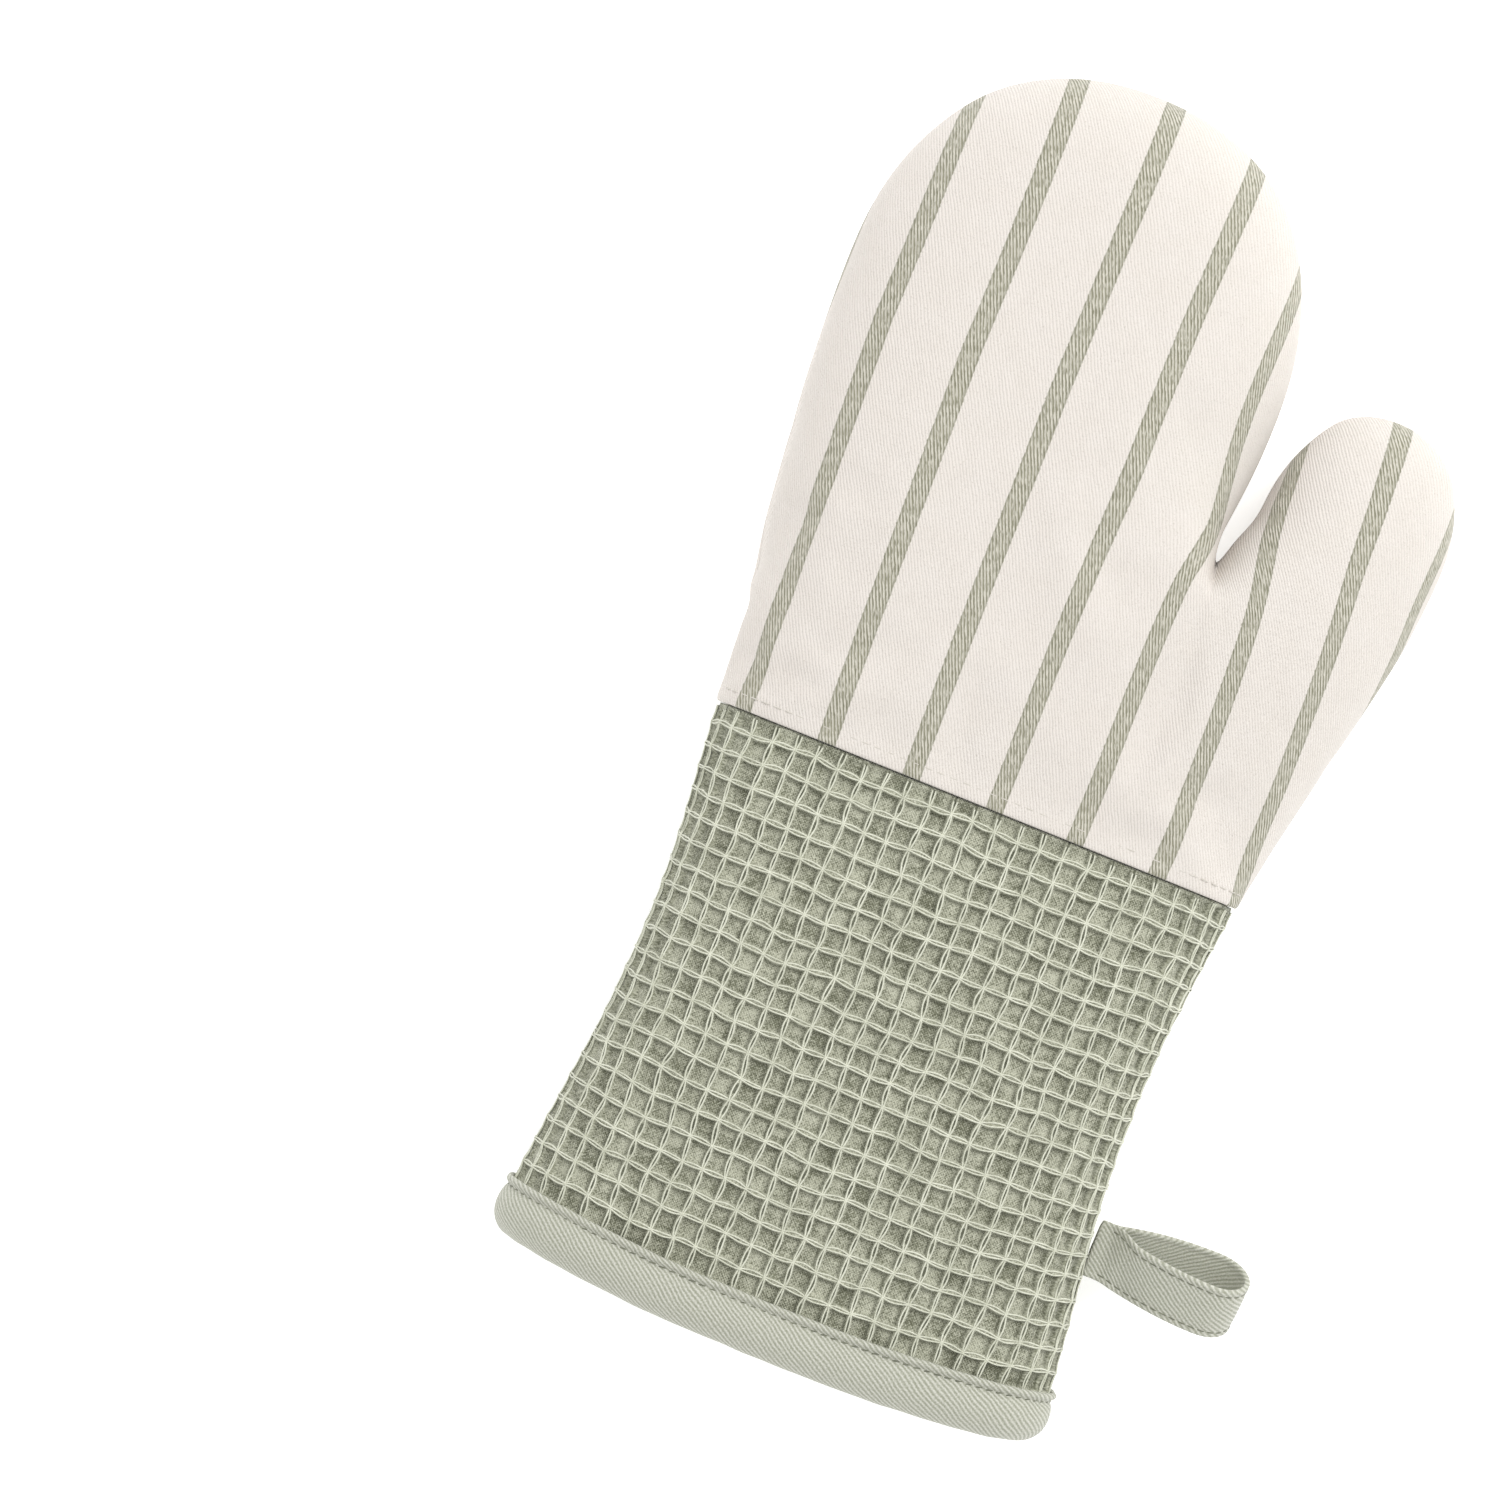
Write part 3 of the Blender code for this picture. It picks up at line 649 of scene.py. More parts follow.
def smooth(made, levels=0):
    """Faces outwards, subdivides, and shades smooth."""
    if volume_of(made.data) < 0:
        made.data.flip_normals()
    if levels:
        modifier = made.modifiers.new("round", "SUBSURF")
        modifier.levels = modifier.render_levels = levels
        apply_modifiers(made)
    made.data.shade_smooth()
    return made


def shell(name, face, regions, outer, inner, levels, thumb_slot=False):
    """One layer of cloth over the named regions, between two sets of points, as a closed piece."""
    grid = face.grid
    cells = [(region, cell) for region, cell in grid.cells if region in regions]
    used = sorted({v for _, cell in cells for v in cell})
    index = {v: i for i, v in enumerate(used)}
    count = len(used)
    faces, kinds, sides = [], [], {}
    for region, cell in cells:
        quad = tuple(index[v] for v in cell)
        lower = tuple(v + count for v in reversed(quad))
        faces += [quad, lower] if face.palm else [quad[::-1], lower[::-1]]
        kinds += [region == "thumb"] * 2
        for a, b in zip(quad, quad[1:] + quad[:1]):
            sides[a, b] = region == "thumb"
    for (a, b), kind in sides.items():
        if (b, a) not in sides:
            wall = (a, a + count, b + count, b)
            faces.append(wall if face.palm else wall[::-1])
            kinds.append(kind)
    cloth = np.concatenate([face.cloth[used]] * 2)
    made = mesh_object(name, np.concatenate([outer[used], inner[used]]), faces, cloth)
    if thumb_slot:
        made.data.polygons.foreach_set("material_index", np.array(kinds, np.int32))
    keep_seam_closed(made.data, grid, index, count)
    return smooth(made, levels)


def keep_seam_closed(mesh, grid, index, count):
    """Creases the edges along the side seam, so that palm side and back still meet when rounded."""
    sharp = set()
    for a, b in grid.outline.tolist():
        if a in index and b in index:
            sharp.add(frozenset((index[a], index[b])))
            sharp.add(frozenset((index[a] + count, index[b] + count)))
    creases = mesh.attributes.new("crease_edge", "FLOAT", "EDGE")
    creases.data.foreach_set("value", [float(frozenset(edge.vertices) in sharp) for edge in mesh.edges])


def split_thumb(joined, thumb_name):
    """Cuts the thumb's part off at the crotch, keeping the shading of the whole piece on both."""
    mesh = joined.data
    normals = np.empty(len(mesh.vertices) * 3, np.float32)
    mesh.vertex_normals.foreach_get("vector", normals)
    normals = normals.reshape(-1, 3)
    pieces = []
    for kind, name in ((0, joined.name + "_part"), (1, thumb_name)):
        body = bmesh.new()
        body.from_mesh(mesh)
        source = body.verts.layers.int.new("source")
        for vertex in body.verts:
            vertex[source] = vertex.index
        others = [face for face in body.faces if face.material_index != kind]
        bmesh.ops.delete(body, geom=others, context="FACES")
        for face in body.faces:
            face.material_index = 0
        rim = [edge for edge in body.edges if edge.is_boundary]
        bmesh.ops.holes_fill(body, edges=rim, sides=0)
        order = [vertex[source] for vertex in body.verts]
        body.verts.layers.int.remove(source)
        part = bpy.data.meshes.new(name)
        body.to_mesh(part)
        body.free()
        part.shade_smooth()
        part.normals_split_custom_set_from_vertices(normals[order].tolist())
        pieces.append(part)
    joined.data = pieces[0]
    thumb = bpy.data.objects.new(thumb_name, pieces[1])
    bpy.context.scene.collection.objects.link(thumb)
    return joined, thumb


def bends(piece):
    """Bakes the piece's placement into its mesh; the piece is not bent."""
    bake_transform(piece)


# ---------------------------------------------------------------- materials


def colour(text):
    """Linear colour from an sRGB hex value."""
    shares = [int(text[i : i + 2], 16) / 255 for i in (1, 3, 5)]
    return (*(s / 12.92 if s <= 0.04045 else ((s + 0.055) / 1.055) ** 2.4 for s in shares), 1)


def feed(node, inputs):
    """Fills a node's inputs, by name or in order: each takes a value, or the output that feeds it."""
    for name, value in inputs.items() if isinstance(inputs, dict) else enumerate(inputs):
        if isinstance(value, bpy.types.NodeSocket):
            node.id_data.links.new(value, node.inputs[name])
        else:
            node.inputs[name].default_value = value


def add(tree, kind, inputs=(), output=0, **settings):
    """Adds a node with its settings and links, and gives one of its outputs."""
    made = tree.nodes.new("ShaderNode" + kind)
    for name, value in settings.items():
        setattr(made, name, value)
    feed(made, inputs)
    return made.outputs[output]


def cotton(name, roughness=0.9, sheen=0.25):
    """A material whose shader is dry cotton: dull, with the soft sheen of loose fibres.

    Gives the material, its shader, and `add` for its nodes.
    """
    made = bpy.data.materials.new(name)
    made.use_nodes = True
    shader = made.node_tree.nodes["Principled BSDF"]
    feed(
        shader,
        {
            "Roughness": roughness, "IOR": 1.5, "Specular IOR Level": 0.25,
            "Sheen Weight": sheen, "Sheen Roughness": 0.6,
        },
    )
    return made, shader, partial(add, made.node_tree)


def bands(new, coordinate, pitch):
    """A wave from -1 to 1 along a coordinate in metres, one turn for each pitch."""
    turned = new("Math", [coordinate, 2 * math.pi / pitch], operation="MULTIPLY")
    return new("Math", [turned], operation="SINE")


def striped_twill():
    """Cotton twill, yarn-dyed: cream ground with sage stripes of heavier diagonal strands."""
    made, shader, new = cotton("striped_cotton_twill", 0.92, 0.2)
    place = new("UVMap", uv_map="cloth")
    across, along = [new("SeparateXYZ", [place], axis) for axis in (0, 1)]
    # The stripe's edges wander by up to a third of a millimetre, as its yarns do
    wander = new("TexNoise", {"Vector": place, "Scale": 1 / (0.9 * MM), "Detail": 3})
    wander = new("Math", [wander, 0.5], operation="SUBTRACT")
    ragged = new("Math", [wander, 0.7 * MM, across], operation="MULTIPLY_ADD")
    turn = new("Math", [ragged, STRIPE_START - STRIPE_PITCH / 2], operation="SUBTRACT")
    turn = new("Math", [turn, STRIPE_PITCH], operation="DIVIDE")
    turn = new("Math", [turn], operation="FRACT")
    off_middle = new("Math", [turn, 0.5], operation="SUBTRACT")
    off_middle = new("Math", [off_middle], operation="ABSOLUTE")
    half = STRIPE_WIDTH / STRIPE_PITCH / 2
    stripe = new("MapRange", [off_middle, half + 0.006, half - 0.006], interpolation_type="SMOOTHSTEP")
    rim = new("MapRange", [off_middle, half - 0.034, half - 0.006], interpolation_type="SMOOTHSTEP")
    # Twill lines 0.95 mm apart, rising to the right at 62 degrees
    lean = new("Math", [along, 0.53, across], operation="MULTIPLY_ADD")
    drift = new("TexNoise", {"Vector": place, "Scale": 1 / (5 * MM), "Detail": 1})
    lean = new("Math", [drift, 0.6 * MM, lean], operation="MULTIPLY_ADD")
    diagonal = bands(new, lean, 0.95 * MM)
    fibres = new("TexNoise", {"Vector": place, "Scale": 1 / (0.45 * MM), "Detail": 3, "Roughness": 0.6})
    blotches = new("TexNoise", {"Vector": place, "Scale": 1 / (9 * MM), "Detail": 3})
    cream = new("Mix", {0: blotches, 6: colour("#E1DBD5"), 7: colour("#DCD5CD")}, 2, data_type="RGBA")
    hollow = new("MapRange", [fibres, 0.56, 0.78], interpolation_type="SMOOTHSTEP")
    cream = new("Mix", {0: hollow, 6: cream, 7: colour("#BDB5AA")}, 2, data_type="RGBA")
    grain = new("Math", [fibres, 3.0, diagonal], operation="MULTIPLY_ADD")
    grain = new("MapRange", [grain, 1.3, 2.9], interpolation_type="SMOOTHSTEP")
    grain = new("Math", [grain, 0.4], operation="MULTIPLY")
    cream = new("Mix", {0: grain, 6: cream, 7: colour("#C2BBB0")}, 2, data_type="RGBA")
    # Strands of the stripe, leaning back from its length, with fibres drawn out along them
    strand = new("Math", [along, 0.42, across], operation="MULTIPLY_ADD")
    strand_length = new("Math", [across, -0.42, along], operation="MULTIPLY_ADD")
    drawn_out = new(
        "CombineXYZ",
        [
            new("Math", [strand, 1 / (0.42 * MM)], operation="MULTIPLY"),
            new("Math", [strand_length, 1 / (2.4 * MM)], operation="MULTIPLY"),
        ],
    )
    tufts = new("TexNoise", {"Vector": drawn_out, "Scale": 1.0, "Detail": 2, "Roughness": 0.6})
    strands = bands(new, new("Math", [tufts, 0.5 * MM, strand], operation="MULTIPLY_ADD"), 0.92 * MM)
    shade = new("Math", [strands, 0.42], operation="MULTIPLY")
    shade = new("Math", [tufts, 2.4, shade], operation="MULTIPLY_ADD")
    shade = new("MapRange", [shade, 0.75, 1.65], interpolation_type="SMOOTHSTEP")
    sage = new("Mix", {0: shade, 6: colour("#85836F"), 7: colour("#CBC7BA")}, 2, data_type="RGBA")
    rim = new("Math", [rim, 0.35], operation="MULTIPLY")
    sage = new("Mix", {0: rim, 6: sage, 7: colour("#6F705C")}, 2, data_type="RGBA")
    weave = new("Math", [diagonal, 0.5], operation="MULTIPLY")
    weave = new("Math", [fibres, 1.2, weave], operation="MULTIPLY_ADD")
    tone = new("Mix", {0: stripe, 6: cream, 7: sage}, 2, data_type="RGBA")
    feed(shader, {"Base Color": tone, "Normal": new("Bump", {"Height": weave, "Distance": 0.15 * MM})})
    return made


def waffle_cotton():
    """Waffle-weave cotton: mottled plain weave in the pits, paler floating yarns on the ridges."""
    made, shader, new = cotton("sage_waffle_cotton", 0.95, 0.3)
    place = new("UVMap", uv_map="cloth")
    across, along = [new("SeparateXYZ", [place], axis) for axis in (0, 1)]
    # Plain weave drawn at 0.8 mm, about twice as coarse as the real yarns, so that it shows
    weave = new("Math", [bands(new, across, 0.8 * MM), bands(new, along, 0.8 * MM)], operation="MULTIPLY")
    fibres = new("TexNoise", {"Vector": place, "Scale": 1 / (0.6 * MM), "Detail": 3, "Roughness": 0.65})
    blotches = new("TexNoise", {"Vector": place, "Scale": 1 / (6 * MM)})
    mottle = new("Math", [blotches, 0.6, fibres], operation="MULTIPLY_ADD")
    mottle = new("Math", [weave, 0.10, mottle], operation="MULTIPLY_ADD")
    mottle = new("MapRange", [mottle, 0.58, 0.98], interpolation_type="SMOOTHSTEP")
    pit = new("Mix", {0: mottle, 6: colour("#6C6E58"), 7: colour("#CCCDB9")}, 2, data_type="RGBA")
    strands = new("MapRange", [fibres, 0.32, 0.68], interpolation_type="SMOOTHSTEP")
    ridge = new("Mix", {0: strands, 6: colour("#8B8D76"), 7: colour("#CDCEBB")}, 2, data_type="RGBA")
    # Place inside the cell each way, and distance from the middle of the nearest ridge, in cells
    cells = new("UVMap", uv_map="cells")
    inside, off = [], []
    for axis in (0, 1):
        share = new("Math", [new("SeparateXYZ", [cells], axis)], operation="FRACT")
        from_middle = new("Math", [share, 0.5], operation="SUBTRACT")
        from_middle = new("Math", [from_middle], operation="ABSOLUTE")
        inside.append(share)
        off.append(new("Math", [0.5, from_middle], operation="SUBTRACT"))
    on_ridge = new("Math", off, operation="MINIMUM")
    on_ridge = new("MapRange", [on_ridge, 0.17, 0.10], interpolation_type="SMOOTHSTEP")
    tone = new("Mix", {0: on_ridge, 6: pit, 7: ridge}, 2, data_type="RGBA")
    # Painted shade along each pit's upper and right sides, where the ridges would shade it, and painted
    # shade in the gap between the two yarns of a ridge
    # Painted shade: each pit darkens towards its upper and right walls, off the ridges only
    pit_shade_top = new("MapRange", [inside[1], 0.66, 0.86], interpolation_type="SMOOTHSTEP")
    pit_shade_right = new("MapRange", [inside[0], 0.70, 0.88], interpolation_type="SMOOTHSTEP")
    painted_pit_shade = new("Math", [pit_shade_top, pit_shade_right], operation="MAXIMUM")
    off_ridge = new("Math", [1.0, on_ridge], operation="SUBTRACT")
    painted_pit_shade = new("Math", [painted_pit_shade, off_ridge], operation="MULTIPLY")
    painted_pit_shade = new("Math", [painted_pit_shade, 0.62], operation="MULTIPLY")
    tone = new("Mix", {0: painted_pit_shade, 6: tone, 7: colour("#4C4F3B")}, 2, data_type="RGBA")
    # Painted shade: a dark spot between the two yarns of an upright ridge, halfway between crossings, where
    # the gap lies in shade
    eye_shade_across = new("MapRange", [off[0], 0.07, 0.03], interpolation_type="SMOOTHSTEP")
    eye_shade_along = new("MapRange", [off[1], 0.22, 0.34], interpolation_type="SMOOTHSTEP")
    painted_eye_shade = new("Math", [eye_shade_across, eye_shade_along], operation="MULTIPLY")
    painted_eye_shade = new("Math", [painted_eye_shade, 0.8], operation="MULTIPLY")
    tone = new("Mix", {0: painted_eye_shade, 6: tone, 7: colour("#4C4F3B")}, 2, data_type="RGBA")
    rough = new("Math", [fibres, 1.6], operation="MULTIPLY")
    rough = new("Math", [weave, 0.4, rough], operation="MULTIPLY_ADD")
    feed(shader, {"Base Color": tone, "Normal": new("Bump", {"Height": rough, "Distance": 0.22 * MM})})
    return made


def spun_yarn(name, low, high):
    """Spun cotton yarn: twisted fibres, a little paler where they catch the light."""
    made, shader, new = cotton(name, 0.85, 0.35)
    place = new("TexCoord", output="Object")
    fibres = new("TexNoise", {"Vector": place, "Scale": 1 / (0.5 * MM), "Detail": 3, "Roughness": 0.65})
    blotches = new("TexNoise", {"Vector": place, "Scale": 1 / (5 * MM)})
    share = new("Math", [fibres, 0.7], operation="MULTIPLY")
    share = new("Math", [blotches, 0.5, share], operation="MULTIPLY_ADD")
    share = new("MapRange", [share, 0.3, 0.9], interpolation_type="SMOOTHSTEP")
    tone = new("Mix", {0: share, 6: colour(low), 7: colour(high)}, 2, data_type="RGBA")
    feed(shader, {"Base Color": tone, "Normal": new("Bump", {"Height": fibres, "Distance": 0.1 * MM})})
    return made


def twill_tape():
    """Cotton twill bias tape: clear diagonal ribs 1.3 mm apart, paler on their backs."""
    made, shader, new = cotton("sage_twill_tape", 0.9, 0.25)
    place = new("UVMap", uv_map="cloth")
    along, across = [new("SeparateXYZ", [place], axis) for axis in (0, 1)]
    lean = new("Math", [along, -0.7, across], operation="MULTIPLY_ADD")
    drift = new("TexNoise", {"Vector": place, "Scale": 1 / (8 * MM), "Detail": 1})
    lean = new("Math", [drift, 1.6 * MM, lean], operation="MULTIPLY_ADD")
    rib = bands(new, lean, 1.3 * MM)
    fibres = new("TexNoise", {"Vector": place, "Scale": 1 / (0.5 * MM), "Detail": 3, "Roughness": 0.6})
    share = new("Math", [rib, 0.19, fibres], operation="MULTIPLY_ADD")
    share = new("MapRange", [share, 0.2, 0.85], interpolation_type="SMOOTHSTEP")
    tone = new("Mix", {0: share, 6: colour("#959785"), 7: colour("#CECEC3")}, 2, data_type="RGBA")
    ribbed = new("Math", [rib, 0.4, fibres], operation="MULTIPLY_ADD")
    feed(shader, {"Base Color": tone, "Normal": new("Bump", {"Height": ribbed, "Distance": 0.14 * MM})})
    return made


def plain_cotton(name, low, high, pitch):
    """Plain-weave cotton, or polyester wadding where the pitch is coarse: soft mottled white."""
    made, shader, new = cotton(name, 0.95, 0.2)
    place = new("TexCoord", output="Object")
    fibres = new("TexNoise", {"Vector": place, "Scale": 1 / pitch, "Detail": 3, "Roughness": 0.6})
    tone = new("Mix", {0: fibres, 6: colour(low), 7: colour(high)}, 2, data_type="RGBA")
    feed(shader, {"Base Color": tone, "Normal": new("Bump", {"Height": fibres, "Distance": pitch * 0.3})})
    return made


# ---------------------------------------------------------------- striped hand and inner layers


def give(piece, material, slot, *nodes):
    """Gives a piece its material, and hides the CAD nodes that it stands for."""
    piece.data.materials.clear()
    piece.data.materials.append(material)
    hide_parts(*nodes)


def set_edge(points, grid, regions):
    """Half a gap of clearance where the striped cloth meets the cuff."""
    moved = points.copy()
    if "cuff" not in regions:
        moved[grid.seam_row, 1] += GAP / 2
    return moved


def striped_hand(faces, material):
    """Striped cloth of fingers, palm and thumb, proud of the cuff where its edge is folded under."""
    for word, face in faces.items():
        grid = face.grid
        near_seam = np.exp(-np.maximum(grid.points[:, 1] - CUFF_LENGTH, 0) / (5 * MM))
        proud = (0.7 if word == "palm" else 0.2) * MM * near_seam
        outer, inner = face.at(-proud), face.at(TWILL - proud * 0.3)
        regions = {"palm", "fingers", "thumb"}
        joined = shell(
            f"{word}_striped_cloth", face, regions,
            set_edge(outer, grid, regions), set_edge(inner, grid, regions), 2, thumb_slot=True,
        )
        crease(joined, face)
        main, thumb = split_thumb(joined, f"{word}_thumb_cloth")
        give(main, material, "striped_twill", f"hand_{word}_panel", f"fingers_{word}_panel")
        give(thumb, material, "striped_twill", f"thumb_{word}_panel")
        bends(main)
        bends(thumb)


def inner_layers(faces, wadding, lining):
    """Wadding and lining, from the hem to the tips."""
    for word, face in faces.items():
        grid = face.grid
        in_cuff = np.isin(np.arange(len(grid.points)), grid.palm_ids[: CUFF_ROWS + 1])
        under_cloth = np.where(in_cuff, WAFFLE_UNDER, TWILL) + GAP
        layers = (
            ("wadding_batt", "wadding", wadding, "wadding", under_cloth, WADDING_FACE),
            ("lining_cloth", "lining", lining, "lining_cotton", WADDING_FACE + GAP, LINING_FACE),
        )
        for new, old, material, slot, top, under in layers:
            joined = shell(
                f"{word}_{new}", face, {"cuff", "palm", "fingers", "thumb"},
                face.at(top), face.at(under), 1, thumb_slot=True,
            )
            main, thumb = split_thumb(joined, f"{word}_thumb_{new}")
            give(main, material, slot, f"hand_{word}_{old}", f"fingers_{word}_{old}")
            give(thumb, material, slot, f"thumb_{word}_{old}")
            bends(main)
            bends(thumb)


# ---------------------------------------------------------------- waffle cuff


class CuffCloth:
    """The cuff's outer face as a table over the cloth: across from the middle, and up from the hem."""

    step = 0.5 * MM

    def __init__(self, face):
        grid = face.grid
        rows = grid.palm_ids[: CUFF_ROWS + 4]
        heights = grid.palm_heights[: CUFF_ROWS + 4]
        self.up = np.arange(0, CUFF_LENGTH + self.step / 2, self.step)
        reach = HEM_WIDTH * 0.75
        self.across = np.arange(-reach, reach + self.step / 2, self.step)
        fine = np.linspace(0, rows.shape[1] - 1, 600)
        columns = cubic(face.points[rows], fine, axis=1)
        column_normals = cubic(face.normals[rows], fine, axis=1)
        level = np.interp(self.up, heights, np.arange(len(heights)))
        points = cubic(columns, level, axis=0)
        normals = cubic(column_normals, level, axis=0)
        self.points = np.empty((len(self.up), len(self.across), 3))
        self.normals = np.empty_like(self.points)
        self.ends = np.empty((len(self.up), 2))
        for j in range(len(self.up)):
            steps = np.linalg.norm(np.diff(points[j], axis=0), axis=1)
            length = np.concatenate([[0], np.cumsum(steps)])
            length -= np.interp(0, points[j, :, 0], length)
            self.ends[j] = length[0], length[-1]
            for k in range(3):
                self.points[j, :, k] = np.interp(self.across, length, points[j, :, k])
                self.normals[j, :, k] = np.interp(self.across, length, normals[j, :, k])
        self.normals /= np.linalg.norm(self.normals, axis=2)[..., None]

    def look_up(self, table, across, up):
        a = np.clip((across - self.across[0]) / self.step, 0, len(self.across) - 1.001)
        u = np.clip(up / self.step, 0, len(self.up) - 1.001)
        i, j = a.astype(int), u.astype(int)
        a, u = (a - i)[..., None], (u - j)[..., None]
        low = table[j, i] * (1 - a) + table[j, i + 1] * a
        high = table[j + 1, i] * (1 - a) + table[j + 1, i + 1] * a
        return low * (1 - u) + high * u

    def at(self, across, up, out=0.0):
        """Points on the cuff, moved out of the cloth by the given distance."""
        ends = self.limits(up)
        across = np.clip(across, ends[0], ends[1])
        normal = self.look_up(self.normals, across, up)
        out = np.broadcast_to(out, np.shape(across))[..., None]
        return self.look_up(self.points, across, up) + normal * out

    def limits(self, up):
        return [np.interp(up, self.up, self.ends[:, k]) for k in (0, 1)]


def cubic(values, places, axis):
    """Values along one axis of a table at fractional places, on a smooth curve through the rows."""
    table = np.moveaxis(values, axis, 0)
    last = len(table) - 1
    i = np.clip(np.floor(places).astype(int), 0, last - 1)
    s = (places - i).reshape((-1,) + (1,) * (table.ndim - 1))
    before, a, b, after = (table[np.clip(i + k, 0, last)] for k in (-1, 0, 1, 2))
    before = np.where((i == 0).reshape(s.shape), 2 * a - b, before)
    after = np.where((i == last - 1).reshape(s.shape), 2 * b - a, after)
    slope_a, slope_b = (b - before) / 2, (after - a) / 2
    curve = (
        (1 + 2 * s) * (1 - s) ** 2 * a + s * (1 - s) ** 2 * slope_a
        + s * s * (3 - 2 * s) * b - s * s * (1 - s) * slope_b
    )
    return np.moveaxis(curve, 0, axis)


class Waves:
    """Smooth seeded unevenness: a few sine waves in random directions."""

    def __init__(self, seed, length, count=7):
        draw = np.random.default_rng(seed)
        turn = draw.uniform(0, 2 * np.pi, count)
        pace = 2 * np.pi / (length * draw.uniform(0.7, 1.6, count))
        self.x, self.y = pace * np.cos(turn), pace * np.sin(turn)
        self.phase = draw.uniform(0, 2 * np.pi, count)

    def __call__(self, x, y):
        total = sum(np.sin(a * x + b * y + c) for a, b, c in zip(self.x, self.y, self.phase))
        return total / math.sqrt(len(self.x))


class Waffle:
    """Where the waffle's ridges run on the cloth, in cells, with a hand-made unevenness."""

    def __init__(self, seed):
        self.sideways = Waves(seed, 26 * MM), Waves(seed + 1, 9 * MM)
        self.lengthways = Waves(seed + 2, 26 * MM), Waves(seed + 3, 9 * MM)
        self.depths = np.random.default_rng(seed + 4).uniform(0.75, 1.1, (64, 64))

    def shift(self, waves, across, up):
        return 0.4 * MM * waves[0](across, up) + 0.19 * MM * waves[1](across, up)

    def cells(self, across, up):
        a = (across + self.shift(self.sideways, across, up)) / CELL
        b = (up + self.shift(self.lengthways, across, up)) / CELL
        return a, b

    def from_cells(self, a, b):
        """The place on the cloth of a point given in cells."""
        across, up = a * CELL, b * CELL
        for _ in range(3):
            now_a, now_b = self.cells(across, up)
            across, up = across + (a - now_a) * CELL, up + (b - now_b) * CELL
        return across, up

    def depth(self, across, up):
        a, b = self.cells(across, up)
        off_a = (0.5 - np.abs(a - np.floor(a) - 0.5)) * CELL
        off_b = (0.5 - np.abs(b - np.floor(b) - 0.5)) * CELL
        walls = smooth_step(off_a, 0.3 * MM, 1.15 * MM) * smooth_step(off_b, 0.3 * MM, 1.15 * MM)
        floor = 1 - 0.2 * smooth_step(np.minimum(off_a, off_b), 1.2 * MM, 3 * MM)
        own = self.depths[np.floor(a).astype(int) % 64, np.floor(b).astype(int) % 64]
        return PIT * walls * floor * own


def waffle_panel(name, cloth, waffle, material, node):
    """The cuff's waffle cloth: every pit and ridge is in the mesh."""
    columns = int(round(WAFFLE_REACH / CELL * POINTS_PER_CELL)) * 2
    rows = int(round((CUFF_LENGTH - HEM_TUCK) / CELL * POINTS_PER_CELL))
    across = np.linspace(-WAFFLE_REACH, WAFFLE_REACH, columns + 1)
    up = np.linspace(HEM_TUCK, CUFF_LENGTH, rows + 1)
    s, t = np.meshgrid(across, up)
    low, high = cloth.limits(t)
    s = np.clip(s, low, high)
    from_side = np.minimum(s - low, high - s)
    fade = smooth_step(from_side, SIDE_STRIP, SIDE_STRIP + 1 * MM) * smooth_step(t, 9 * MM, 13 * MM)
    fade *= smooth_step(CUFF_LENGTH - t, 0.3 * MM, 1.6 * MM)
    sink = 0.5 * MM + 0.5 * MM * smooth_step(t, CUFF_LENGTH - 2.5 * MM, CUFF_LENGTH)
    outer = cloth.at(s, t, -(sink + waffle.depth(s, t) * fade)).reshape(-1, 3)
    inner = cloth.at(s, t, -WAFFLE_UNDER).reshape(-1, 3)
    ids = np.arange((rows + 1) * (columns + 1)).reshape(rows + 1, columns + 1)
    quads = np.stack([ids[:-1, :-1], ids[:-1, 1:], ids[1:, 1:], ids[1:, :-1]], axis=2).reshape(-1, 4)
    count = ids.size
    faces = quads.tolist() + (quads[:, ::-1] + count).tolist()
    ring = np.concatenate([ids[0], ids[1:, -1], ids[-1, -2::-1], ids[-2:0:-1, 0]]).tolist()
    for a, b in zip(ring, ring[1:] + ring[:1]):
        faces.append((a, a + count, b + count, b))
    cloth_uv = np.stack([s.ravel(), t.ravel()], axis=1)
    cell_a, cell_b = waffle.cells(s, t)
    cell_a = np.where(from_side < SIDE_STRIP, np.round(cell_a), cell_a)
    cells_uv = np.stack([cell_a, cell_b], axis=2).reshape(-1, 2)
    made = mesh_object(
        name, np.concatenate([outer, inner]), faces,
        np.concatenate([cloth_uv] * 2), np.concatenate([cells_uv] * 2),
    )
    body = bmesh.new()
    body.from_mesh(made.data)
    bmesh.ops.remove_doubles(body, verts=body.verts, dist=1e-6)
    body.to_mesh(made.data)
    body.free()
    smooth(made)
    give(made, material, "waffle_cotton", node)
    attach(made, "hand")
    return made


def tube_mesh(name, lines, radius, sides=5):
    """One mesh of many round yarns, each a line of points, with closed ends."""
    points, faces, start = [], [], 0
    turn = 2 * np.pi * np.arange(sides) / sides
    for line, out in lines:
        along = np.gradient(line, axis=0)
        along /= np.linalg.norm(along, axis=1)[:, None]
        beside = np.cross(along, out)
        beside /= np.linalg.norm(beside, axis=1)[:, None]
        above = np.cross(beside, along)
        ring = (
            line[:, None]
            + radius * np.cos(turn)[None, :, None] * beside[:, None]
            + radius * np.sin(turn)[None, :, None] * above[:, None]
        )
        count = len(line)
        points.append(ring.reshape(-1, 3))
        ids = start + np.arange(count * sides).reshape(count, sides)
        after = np.roll(ids, -1, axis=1)
        quads = np.stack([ids[:-1], after[:-1], after[1:], ids[1:]], axis=2).reshape(-1, 4)
        faces += quads.tolist()
        faces.append(ids[0][::-1].tolist())
        faces.append(ids[-1].tolist())
        start += count * sides
    return smooth(mesh_object(name, np.concatenate(points), faces))


